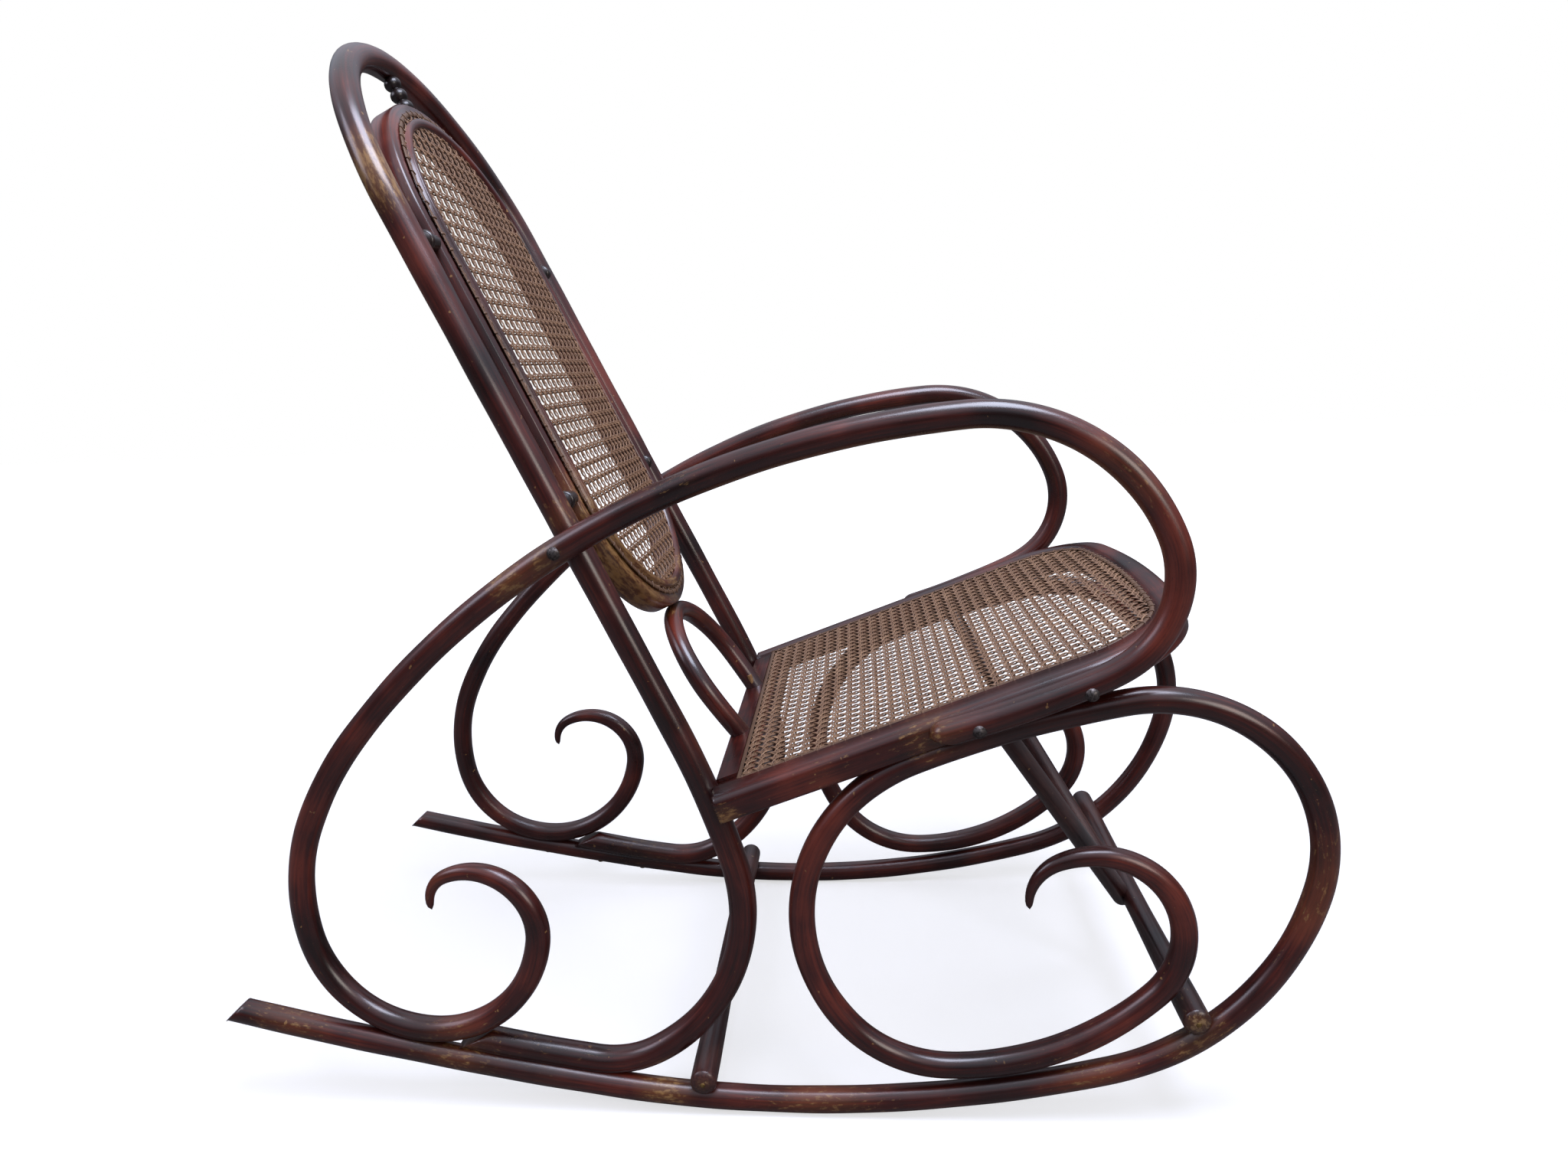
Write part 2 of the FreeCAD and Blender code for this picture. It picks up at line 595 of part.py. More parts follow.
def brace_and_ring_fasteners():
    """Screws of the struts and dowels of the ring."""
    top = Vector(-BRACE_TOP[0], BRACE_TOP[1], BRACE_TOP[2])
    foot = Vector(-BRACE_FOOT[0], BRACE_FOOT[1], BRACE_FOOT[2])
    line = (top - foot).normalize()
    reach = (top - foot).Length
    drop = (top - on_seat(0, 0, -RAIL_DEPTH)).dot(SEAT_UP) / line.dot(SEAT_UP)
    entry = foot + line * (reach - drop - 14.0)
    side = line.cross(Vector(1, 0, 0)).normalize()
    toward = Vector(0, FRONT_STRETCHER[0], FRONT_STRETCHER[1]) - Vector(0, foot.y, foot.z)
    heel = foot - toward.normalize() * (BRACE_END / 2 - 0.4)
    ring_leg = on_seat(-RING_RADIUS + 12.0, RING_FOOT, 16.0)
    return {"brace_top_screws": [Part.makeCylinder(SCREW / 2, 36.0, entry, line)],
            "brace_foot_screws": [screw(heel, toward, 30.0, 7.0, 3.5, 2.0)],
            "ring_dowels": [Part.makeCylinder(3.0, 36.0, ring_leg, SEAT_UP * -1)]}


def build():
    runner = runner_rod()
    arm = arm_rod()
    hoop = back_hoop()
    rim, back_net, back_binding = back_panel()
    frame, rear_rail, seat_net, seat_binding = seat_pieces()
    runners = pair(runner)
    knob = spindle()
    half = SEAT_HALF
    outside = slab(Vector(-half, -240, 340), (1, 0, 0), (0, 1, 0), (0, 0, 1), (60, 220, 140))
    under = slab(on_seat(-half - 20, -40, -RAIL_DEPTH), (1, 0, 0), SEAT_FORWARD, SEAT_UP, (300, 520, 60))
    middle = slab(Vector(0, -400, 0), (1, 0, 0), (0, 1, 0), (0, 0, 1), (100, 200, 300))
    post = touching(hoop, runners, knob)
    frame = touching(frame, runners, hoop)
    rear_rail = touching(rear_rail, hoop)
    arm = touching(arm, outside, runner, hoop)
    front = touching(stretcher(FRONT_STRETCHER, stretcher_half(FRONT_STRETCHER)), runners)
    rear = touching(stretcher(REAR_STRETCHER, stretcher_half(REAR_STRETCHER)), runners)
    rim = touching(rim, knob)
    ring = touching(ring_loop(), rim)
    strut = touching(brace(), under, front, middle, runner)
    groups = fasteners()
    for name, shapes in brace_and_ring_fasteners().items():
        groups[name] = shapes
    buttons = [touching(spacer(down), hoop, rim) for down in SPACERS_DOWN]
    groups["spacer_pins"] = [Part.makeCylinder(2.0, 40.0, on_back(-leg_side(down) + 6.0, down, SPACER_FORWARD),
                                               Vector(1, 0, 0)) for down in SPACERS_DOWN]
    wood = {"runner_right": runner, "arm_right": arm, "brace_right": strut,
            "rim_spacer_upper_right": buttons[0], "rim_spacer_lower_right": buttons[1]}
    whole = {"back_hoop": post, "back_rim": rim, "seat_frame": frame, "seat_rear_rail": rear_rail,
             "ring_loop": ring, "front_stretcher": front, "rear_stretcher": rear}
    nodes = {"crown_spindle": knob, "back_cane": back_net, "back_binding": back_binding,
             "seat_cane": seat_net, "seat_binding": seat_binding}
    drills = {name: pair(*shapes) for name, shapes in groups.items()}
    for name, shape in wood.items():
        piece = touching(shape, *[pair(*shapes) for shapes in groups.values()])
        nodes[name] = piece
        nodes[name.replace("right", "left")] = mirrored(piece)
    for name, shape in whole.items():
        nodes[name] = touching(shape, *drills.values())
    for name, shape in drills.items():
        nodes[name] = shape
    return nodes


def settled(nodes):
    """Tips the chair to its rest angle, sets it on the floor and centres its box on the origin."""
    for shape in nodes.values():
        shape.rotate(Vector(0, 0, 0), Vector(1, 0, 0), REST_TILT)
    extents = [shape.optimalBoundingBox() for shape in nodes.values()]
    middle = (min(b.YMin for b in extents) + max(b.YMax for b in extents)) / 2
    floor = min(b.ZMin for b in extents)
    print("set down by", round(middle, 3), round(floor, 3))
    for shape in nodes.values():
        shape.translate(Vector(0, -middle, -floor))
    return nodes


NODES = settled(build())
os.makedirs("parts", exist_ok=True)
for name, shape in NODES.items():
    solids = [solid for solid in shape.Solids]
    piece = solids[0] if len(solids) == 1 else Part.makeCompound(solids)
    piece.exportStep("parts/%s.step" % name)
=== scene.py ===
import math

import bpy
import numpy as np
from mathutils import Matrix, Vector


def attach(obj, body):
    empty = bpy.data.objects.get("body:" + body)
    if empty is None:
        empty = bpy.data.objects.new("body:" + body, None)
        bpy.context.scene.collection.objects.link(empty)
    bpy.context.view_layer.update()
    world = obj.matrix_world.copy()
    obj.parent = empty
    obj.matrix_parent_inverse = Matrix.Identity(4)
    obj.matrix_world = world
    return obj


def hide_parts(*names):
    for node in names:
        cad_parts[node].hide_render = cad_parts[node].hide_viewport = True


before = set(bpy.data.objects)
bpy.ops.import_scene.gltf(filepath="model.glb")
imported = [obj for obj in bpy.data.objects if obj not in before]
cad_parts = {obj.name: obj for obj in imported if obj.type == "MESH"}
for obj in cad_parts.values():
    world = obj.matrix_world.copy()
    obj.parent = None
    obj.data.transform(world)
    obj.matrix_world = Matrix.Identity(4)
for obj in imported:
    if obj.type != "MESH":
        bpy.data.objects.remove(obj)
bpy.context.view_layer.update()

# Bentwood rocking chair. Its pieces are drawn in side elevation in millimetres, as (x, y, z) with y
# to the back, before the chair is tipped to rest; settle() then gives metres in the chair's frame.
MM = 0.001
REST_TILT = math.radians(2.2)
SET_BACK = 85.936
SET_DOWN = 4.881

ROD = 24.5              # diameter of the arm and runner rods
HOOP_ROD = 26.5
RING_ROD = 21.0

# Runner rod. Its side of the chair is so far out, and widens by its splay towards the front. Bends are
# (radius, turn in degrees) from the start; radius 0 is a straight of that length.
RUNNER_OUT, RUNNER_SPLAY = 231.0, 0.014
RUNNER_START, RUNNER_HEADING = (619.8, 85.3), 191.9
RUNNER_BENDS = [(4220, -5.35), (1192, -23.4), (246.8, -62.8), (150.8, -112.5), (905, -12.3),
                (168.5, -109.0), (126.3, -48.5), (266, -45.5), (81.8, -157.5), (43.2, -76.3)]
RUNNER_CURL_LENGTH = 282.0
TAIL_TOE, TAIL_CUT, TAIL_FROM = (1.0, -11.0), (0, 23, 24), 520.0

# Arm rod. The lap is its flat on the seat rail, sawn at the heel.
ARM_OUT, ARM_SPLAY = 244.6, 0.058
ARM_START, ARM_HEADING = (-71.0, 400.8), 161.9
ARM_BENDS = [(1081, -8.0), (154, -10.2), (90.5, -77.9), (168.6, -72.1), (834, -44.8), (375, -16.4),
             (203, -34.0), (119.4, -161.8), (62.3, -125.3), (29.7, -79.4)]
ARM_CURL_LENGTH = 264.0
ARM_NOSE = 15.0
ARM_HEEL, HEEL_CUT = (-22.0, -4.0), (0, 4, -24)
LAP_REAR, LAP_FRONT, LAP_TOP = -40, -140, 460
FLAT_REAR, FLAT_FRONT, FLAT_TOP = -20, -240, 470

# Thin end of a curl, and the slight waves that hand finishing leaves in a rod
CURL_TIP = 6.0
SWELL, SWELL_WAVES = 0.22, (310.0, 170.0, 90.0)

# Back hoop, from the crown down to a foot that is sawn to lie on its runner
LEAN = math.radians(27.1)
CROWN = (0.0, 482.6, 1015.9)
HOOP_BENDS = [(210.0, 25.0), (181.7, 63.4), (0, 528.1)]
FOOT_BENDS = [(886, 9.0), (172, 77.6), (103, 37.0), (1570, 5.0)]
FOOT_TOE, FOOT_RISE, FOOT_RUN = 11.0, 28, 22

# Rim of the back panel, by its centre line
RIM_WIDTH, RIM_DEPTH, RIM_ROUND = 28.0, 34.0, 6.0
RIM_TOP = 64.5
RIM_BENDS = [(161.0, 24.0), (129.1, 64.4), (0, 285.0), (98.0, 27.1)]
BACK_CANE_FORWARD = 14.0    # top of the weave, forward of the panel's middle
BACK_BINDING = 1.4          # middle of the binding cane, outside the rim's centre line

# Seat frame, and how far inside its outer edge the middle of the binding cane lies
SEAT_TILT = math.radians(22.0)
SEAT_REAR = (0.0, 124.5, 334.8)
SEAT_HALF, SEAT_LENGTH, SEAT_BOW, SEAT_CORNER = 245.0, 474.0, 1280.0, 115.0
RAIL_WIDTH, FRONT_RAIL_WIDTH, RAIL_DEPTH = 45.0, 40.0, 27.0
RAIL_ROUND, RAIL_LOWER_ROUND = 9, 4
BINDING_SIDE, BINDING_REAR, BINDING_FRONT = 31.5, 24.5, 26.5

# Ring under the back panel
RING_RADIUS, RING_LEG_BEND, RING_FOOT, RING_SUNK = 86.0, (222.0, 15.4), 11.0, 6
RING_TOP = (0.0, 195.0, 448.5)

# Cross rods, braces and spindle
FRONT_STRETCHER = (-324.0, 129.5)
REAR_STRETCHER = (136.0, 37.0)
STRETCHER_OVERHANG = 16.0
STRETCHER_WAIST, STRETCHER_END, DOME = 11.5, 13.0, 6    # radii, and how far the end is domed
BRACE_TOP, BRACE_FOOT = (-211.0, -127.0, 412.0), (-14.0, -310.0, 133.0)
BRACE_THIN, BRACE_THICK, BRACE_PAST = 9.0, 11.0, 12
SPINDLE_NECK, SPINDLE_SWELL, BEADS = 4.4, 4.2, 3

# Cane: drilled hole spacing of the seat and the back, strand widths and thickness, the loops that tie
# the binding down, and how far the nets sag or bulge
SEAT_HOLES, BACK_HOLES = 14.6, 16.0
STRAND, DIAGONAL_STRAND, STRAND_THICK = 2.1, 2.2, 0.9
BINDING_CANE = 5.2
LOOP_RISE, LOOP_SUNK = 1.9, 0.9
CANE_DOWN = 1.6             # from the top of the weave to its middle
SEAT_SAG, BACK_BULGE = 5.0, -1.0


def settle(points):
    """Drawing millimetres to the chair's own frame in metres, tipped to its rest angle."""
    p = np.atleast_2d(np.asarray(points, float))
    c, s = math.cos(REST_TILT), math.sin(REST_TILT)
    y = p[:, 1] * c - p[:, 2] * s - SET_BACK
    z = p[:, 1] * s + p[:, 2] * c - SET_DOWN
    return np.c_[p[:, 0], y, z] * MM


def bent_line(start, heading, bends, step=4.0):
    """Points along tangent bends in a plane, (radius, turn); radius 0 is a straight of that length."""
    a, b = start
    h = math.radians(heading)
    line = [(a, b)]
    for radius, turn in bends:
        if radius == 0:
            count = int(math.ceil(turn / step))
            for i in range(1, count + 1):
                line.append((a + math.cos(h) * turn * i / count, b + math.sin(h) * turn * i / count))
        else:
            t = math.radians(turn)
            side = 1 if turn > 0 else -1
            count = max(3, int(math.ceil(radius * abs(t) / step)))
            for i in range(1, count + 1):
                g = h + t * i / count
                line.append((a + side * radius * (math.sin(g) - math.sin(h)),
                             b - side * radius * (math.cos(g) - math.cos(h))))
            h += t
        a, b = line[-1]
    return np.array(line), math.degrees(h)


def side_rod(bends_line, out, splay):
    """Right-hand side plane, which toes out to the front."""
    run = math.hypot(1.0, splay)
    y = bends_line[:, 0] / run
    return np.c_[-out + splay * y, y, bends_line[:, 1]]


BACK_DOWN = np.array([0, -math.sin(LEAN), -math.cos(LEAN)])
BACK_FRONT = np.array([0, -math.cos(LEAN), math.sin(LEAN)])
SEAT_FORWARD = np.array([0, -math.cos(SEAT_TILT), math.sin(SEAT_TILT)])
SEAT_UP = np.array([0, math.sin(SEAT_TILT), math.cos(SEAT_TILT)])
SIDEWAYS = np.array([1.0, 0, 0])


def on_back(side, down, forward=0.0):
    """A place in the leaning plane of the back, from the hoop's crown."""
    side, down, forward = np.broadcast_arrays(side, down, forward)
    return (np.array(CROWN) + np.multiply.outer(side, SIDEWAYS) + np.multiply.outer(down, BACK_DOWN)
            + np.multiply.outer(forward, BACK_FRONT))


def on_seat(side, forward, up=0.0):
    """A place in the plane of the seat's top, from the middle of its rear edge."""
    side, forward, up = np.broadcast_arrays(side, forward, up)
    return (np.array(SEAT_REAR) + np.multiply.outer(side, SIDEWAYS) + np.multiply.outer(forward, SEAT_FORWARD)
            + np.multiply.outer(up, SEAT_UP))


def unit(v):
    """Vectors at length one."""
    return v / np.maximum(np.linalg.norm(v, axis=-1, keepdims=True), 1e-12)


def tangents(line, closed=False):
    """The way a line runs at each of its points."""
    if closed:
        return unit(np.roll(line, -1, 0) - np.roll(line, 1, 0))
    return unit(np.gradient(line, axis=0))


def carried_frames(line, first):
    """Cross directions carried along a line without twist."""
    t = tangents(line)
    n = np.zeros_like(line)
    n[0] = unit(first - t[0] * (first @ t[0]))
    for i in range(1, len(line)):
        v = line[i] - line[i - 1]
        c = max(v @ v, 1e-12)
        left = n[i - 1] - 2 / c * (v @ n[i - 1]) * v
        along = t[i - 1] - 2 / c * (v @ t[i - 1]) * v
        w = t[i] - along
        c = max(w @ w, 1e-12)
        n[i] = left - 2 / c * (w @ left) * w
        n[i] = unit(n[i] - t[i] * (n[i] @ t[i]))
    return n, np.cross(t, n)


def piece(name, points, faces, facts, material, nodes):
    """Adds a mesh piece of the chair, with per-point facts that its material reads."""
    mesh = bpy.data.meshes.new(name)
    mesh.from_pydata(settle(points).tolist(), [], faces)
    for fact, values in facts.items():
        values = np.asarray(values, np.float32)
        kind = "FLOAT_VECTOR" if values.ndim == 2 else "FLOAT"
        layer = mesh.attributes.new(fact, kind, "POINT")
        layer.data.foreach_set("vector" if values.ndim == 2 else "value", values.ravel())
    mesh.materials.append(material)
    mesh.shade_smooth()
    mesh.validate()
    thing = bpy.data.objects.new(name, mesh)
    bpy.context.scene.collection.objects.link(thing)
    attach(thing, "root")
    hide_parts(*nodes)


def ring_faces(rings, around, closed=False):
    """Faces between neighbouring rings of points, with a cap at each end of an open run."""
    faces = []
    last = rings if closed else rings - 1
    for i in range(last):
        j = (i + 1) % rings
        for k in range(around):
            m = (k + 1) % around
            faces.append((i * around + k, i * around + m, j * around + m, j * around + k))
    if not closed:
        faces.append(tuple(reversed(range(around))))
        faces.append(tuple((rings - 1) * around + k for k in range(around)))
    return faces


def sweep(line, across, up, profile, scale=None, closed=False):
    """Rings of a profile set along a line, and where each point is in the wood's own grain."""
    rings, around = len(line), len(profile)
    scale = np.ones(rings) if scale is None else scale
    offset = profile[None, :, :] * scale[:, None, None]
    points = line[:, None, :] + offset[:, :, :1] * across[:, None, :] + offset[:, :, 1:] * up[:, None, :]
    gaps = np.linalg.norm(np.diff(line, axis=0), axis=1)
    along = np.r_[0.0, np.cumsum(gaps)]
    grain = np.concatenate([np.broadcast_to(along[:, None, None], (rings, around, 1)), offset], axis=2)
    return points.reshape(-1, 3), grain.reshape(-1, 3) * MM, ring_faces(rings, around, closed)


def round_profile(diameter, count=28):
    """Points round a circle, as the section of a rod."""
    a = np.linspace(0, 2 * math.pi, count, endpoint=False)
    return np.c_[np.cos(a), np.sin(a)] * diameter / 2


def cut_flat(points, at, out, chosen):
    """Presses each chosen point that lies beyond a plane back on to it, as a saw cut would."""
    out = unit(np.asarray(out, float))
    beyond = (points - np.asarray(at)) @ out
    chosen = (beyond > 0) & chosen
    points[chosen] -= beyond[chosen, None] * out
    return points


def mirrored(points, faces):
    """The same piece on the chair's other side."""
    other = points * np.array([-1.0, 1.0, 1.0])
    return other, [tuple(reversed(f)) for f in faces]


def hand_shaved(line, diameter, seed):
    """Slight swell and shrink of a hand-finished rod, as a share of its diameter."""
    draw = np.random.default_rng(seed)
    along = np.r_[0.0, np.cumsum(np.linalg.norm(np.diff(line, axis=0), axis=1))]
    swell = np.zeros(len(line))
    for wave in SWELL_WAVES:
        swell += SWELL / diameter * np.sin(along / wave * 2 * math.pi + draw.uniform(0, 6.28))
    return 1 + swell


OTHER_LENGTH = 3.1      # metres along the grain from one rod's wood to the next one's


# Worn places, in drawing millimetres: centre, reach and strength
WORN = [
    # the hoop's shoulders and the panel's base
    ((-192.0, 412.0, 880.0), 46.0, 0.9), ((-96.0, 472.0, 995.0), 26.0, 0.35),
    ((-202.0, 262.0, 584.0), 24.0, 0.6), ((-148.0, 262.0, 580.0), 60.0, 0.7),
    ((-129.0, 235.0, 532.0), 62.0, 0.95), ((-86.0, 216.0, 495.0), 52.0, 1.0),
    ((-20.0, 206.0, 480.0), 34.0, 1.0), ((50.0, 210.0, 486.0), 34.0, 0.8),
    # the arm, its lap and the rail beside it
    ((-232.0, 268.0, 552.0), 26.0, 0.7), ((-230.0, 300.0, 530.0), 28.0, 0.7),
    ((-240.0, 143.0, 628.0), 40.0, 0.35), ((-266.0, -224.0, 640.0), 60.0, 0.35),
    ((-250.0, -70.0, 404.0), 46.0, 0.5), ((-240.0, 410.0, 250.0), 60.0, 0.35),
    ((-238.0, 110.0, 314.0), 20.0, 1.0), ((-245.0, 10.0, 362.0), 60.0, 0.25),
    ((-200.0, 121.0, 326.0), 24.0, 0.4),
    # the runners
    ((-231.0, 175.0, 20.0), 36.0, 0.7), ((-231.0, 20.0, 8.0), 90.0, 0.45),
    ((-226.0, 385.0, 40.0), 70.0, 0.5), ((-234.0, -231.0, 55.0), 70.0, 0.4),
    ((-238.0, -423.0, 269.0), 90.0, 0.4), ((-235.0, -330.0, 105.0), 46.0, 0.6),
    ((-226.0, 560.0, 70.0), 70.0, 0.45), ((-220.0, 300.0, 60.0), 60.0, 0.3),
    ((231.0, 300.0, 40.0), 90.0, 0.4),
    # the stretchers' ends
    ((-254.0, -324.0, 129.5), 15.0, 0.9), ((-249.0, 136.0, 37.0), 12.0, 0.5),
]


def wear(points):
    """How much the varnish has worn at each point."""
    amount = np.zeros(len(points))
    for centre, reach, strength in WORN:
        away = np.linalg.norm(points - np.array(centre), axis=1)
        amount = np.maximum(amount, strength * np.clip(1.3 - away / reach, 0, 1))
    return amount


# Where two pieces meet the wood is drawn darker: dust and old polish gather there, together with painted
# shade for the shade that falls in the joint
CLOSE = [
    ((0.0, 475.0, 1001.0), 16.0), ((-230.0, 258.0, 559.0), 22.0), ((-212.0, 133.0, 330.0), 34.0),
    ((-232.0, -140.0, 408.0), 60.0), ((-228.0, 300.0, 42.0), 60.0), ((-226.0, 420.0, 62.0), 40.0),
    ((-233.0, -150.0, 52.0), 50.0), ((-229.0, 136.0, 26.0), 22.0), ((-235.0, -326.0, 116.0), 24.0),
    ((0.0, -314.0, 126.0), 34.0), ((-211.0, -118.0, 400.0), 28.0), ((0.0, 196.0, 455.0), 20.0),
    ((-75.0, 110.0, 343.0), 18.0),
]


def grime(points):
    """How much darker the wood is drawn at each point near a joint, as old polish and painted shade, alike on
    both sides of the chair.
    """
    amount = np.zeros(len(points))
    for centre, reach in CLOSE:
        for side in (1.0, -1.0):
            away = np.linalg.norm(points - np.array(centre) * np.array([side, 1.0, 1.0]), axis=1)
            amount = np.maximum(amount, np.clip(1.25 - away / reach, 0, 1))
    return amount


def linear(colour):
    """sRGB hex to the linear colour that a shader takes."""
    parts = [int(colour[i:i + 2], 16) / 255 for i in (1, 3, 5)]
    return [p / 12.92 if p <= 0.04045 else ((p + 0.055) / 1.055) ** 2.4 for p in parts] + [1.0]


def cells(*sizes):
    """How many cells of a pattern go in a metre, for cells of these sizes in millimetres."""
    return tuple(1 / (size * MM) for size in sizes)


def add(tree, kind, settings=None, **links):
    """Adds one shader node. Settings are its properties, input values and colour stops; links are its
    inputs, by name or as i and the input's number."""
    node = tree.nodes.new("ShaderNode" + kind)
    for key, value in (settings or {}).items():
        if key == "stops":
            bar = node.color_ramp
            while len(bar.elements) < len(value):
                bar.elements.new(0.5)
            for element, (place, colour) in zip(bar.elements, value):
                element.position = place
                element.color = linear(colour)
        elif isinstance(key, str) and hasattr(node, key):
            setattr(node, key, value)
        else:
            node.inputs[key].default_value = value
    for key, source in links.items():
        slot = int(key[1:]) if key[0] == "i" and key[1:].isdigit() else key.replace("_", " ")
        tree.links.new(source, node.inputs[slot])
    return node


def new_material(name):
    """An empty material and its node tree."""
    material = bpy.data.materials.new(name)
    material.use_nodes = True
    tree = material.node_tree
    tree.nodes.clear()
    return material, tree


# Pattern cells in millimetres, along and twice across a rod or a strand
STREAK = (71.4, 2.38, 2.38)     # beech streaks are under 1 mm wide; drawn coarser so that they show
FLECK = (7.14, 1.11, 1.11)      # beech's short dark rays
WORN_PATCH = (11.1, 3.85, 3.85)
STAIN_CLOUD = 111.0
NICK = 7.69
FIBRE = (33.3, 0.556, 0.556)    # cane fibres are about 0.2 mm wide; drawn coarser so that they show
CANE_CLOUD = 71.4
TARNISH_SPOT = 2.38

THIN_VARNISH = "#6d4522"
# colour of old polish and of the painted shade where pieces meet
POLISH_AND_SHADE = "#170a0a"
# painted shade for the low parts of the woven cane
CANE_SUNK_SHADE = "#4c3426"


def stained_wood(name, deep, middle, light, bare, shine=0.27, coat=0.6, own_grain=True):
    """Steam-bent beech, stained and varnished long ago. The eye sees a deep red-brown with fine darker
    streaks along the rod, short beech flecks, tan wood where the varnish has worn through, and a soft
    shine."""
    material, tree = new_material(name)
    room = add(tree, "TexCoord").outputs["Object"]
    place = room
    if own_grain:
        place = add(tree, "Attribute", {"attribute_name": "grain"}).outputs["Vector"]
    streak_at = add(tree, "Mapping", {"Scale": cells(*STREAK)}, Vector=place).outputs[0]
    streaks = add(tree, "TexNoise", {"Scale": 1.0, "Detail": 4.0, "Roughness": 0.6},
                  Vector=streak_at).outputs[0]
    fleck_at = add(tree, "Mapping", {"Scale": cells(*FLECK)}, Vector=place).outputs[0]
    flecks = add(tree, "TexNoise", {"Scale": 1.0, "Detail": 2.0, "Roughness": 0.5},
                 Vector=fleck_at).outputs[0]
    clouds = add(tree, "TexNoise", {"Scale": cells(STAIN_CLOUD)[0], "Detail": 3.0, "Roughness": 0.55},
                 Vector=room).outputs[0]

    # the stain: streaks over wide soft clouds, with the darker flecks let in
    mixed = add(tree, "Math", {"operation": "MULTIPLY_ADD", 1: 0.55}, i0=streaks, i2=clouds).outputs[0]
    tone = add(tree, "MapRange", {"From Min": 0.58, "From Max": 0.98}, Value=mixed).outputs[0]
    stain = add(tree, "ValToRGB", {"stops": [(0.0, deep), (0.5, middle), (1.0, light)]},
                Fac=tone).outputs[0]
    fleck = add(tree, "MapRange", {"From Min": 0.60, "From Max": 0.74, "To Max": 0.45},
                Value=flecks).outputs[0]
    stain = add(tree, "Mix", {"data_type": "RGBA", 7: linear(deep)}, i0=fleck, i6=stain).outputs[2]

    if own_grain:
        worn = add(tree, "Attribute", {"attribute_name": "wear"}).outputs["Fac"]
        dirt_and_shade = add(tree, "Attribute", {"attribute_name": "grime"}).outputs["Fac"]
        patch_at = add(tree, "Mapping", {"Scale": cells(*WORN_PATCH)}, Vector=place).outputs[0]
        patches = add(tree, "TexNoise", {"Scale": 1.0, "Detail": 5.0, "Roughness": 0.68},
                      Vector=patch_at).outputs[0]
        nicks = add(tree, "TexNoise", {"Scale": cells(NICK)[0], "Detail": 2.0, "Roughness": 0.5},
                    Vector=room).outputs[0]
        # thin golden varnish round a worn place
        thin = add(tree, "Math", {"operation": "MULTIPLY"}, i0=worn, i1=clouds).outputs[0]
        thin = add(tree, "MapRange", {"From Min": 0.12, "From Max": 0.55, "To Max": 0.85},
                   Value=thin).outputs[0]
        stain = add(tree, "Mix", {"data_type": "RGBA", 7: linear(THIN_VARNISH)}, i0=thin,
                    i6=stain).outputs[2]
        # bare wood in its middle, and in small nicks anywhere
        rub = add(tree, "Math", {"operation": "MULTIPLY_ADD", 1: 0.31}, i0=worn, i2=patches).outputs[0]
        rubbed = add(tree, "MapRange", {"From Min": 0.68, "From Max": 0.82, "To Max": 0.8},
                     Value=rub).outputs[0]
        nicked = add(tree, "MapRange", {"From Min": 0.735, "From Max": 0.765, "To Max": 0.7},
                     Value=nicks).outputs[0]
        bared = add(tree, "Math", {"operation": "MAXIMUM"}, i0=rubbed, i1=nicked).outputs[0]
        stain = add(tree, "Mix", {"data_type": "RGBA", 7: linear(bare)}, i0=bared, i6=stain).outputs[2]
        # old polish and painted shade in the corners where pieces meet
        shade = add(tree, "MapRange", {"To Max": 0.6}, Value=dirt_and_shade).outputs[0]
        stain = add(tree, "Mix", {"data_type": "RGBA", 7: linear(POLISH_AND_SHADE)}, i0=shade,
                    i6=stain).outputs[2]

    dull = add(tree, "MapRange", {"From Min": 0.3, "From Max": 0.7, "To Min": shine - 0.04,
                                  "To Max": shine + 0.12}, Value=clouds).outputs[0]
    height = add(tree, "Math", {"operation": "MULTIPLY_ADD", 1: 0.5}, i0=streaks, i2=flecks).outputs[0]
    bump = add(tree, "Bump", {"Strength": 0.10, "Distance": 0.0004}, Height=height).outputs[0]
    varnish = {"IOR": 1.5, "Coat Weight": coat, "Coat Roughness": 0.22, "Coat IOR": 1.5}
    shader = add(tree, "BsdfPrincipled", varnish, Base_Color=stain, Roughness=dull, Normal=bump)
    add(tree, "OutputMaterial", {}, Surface=shader.outputs[0])
    return material


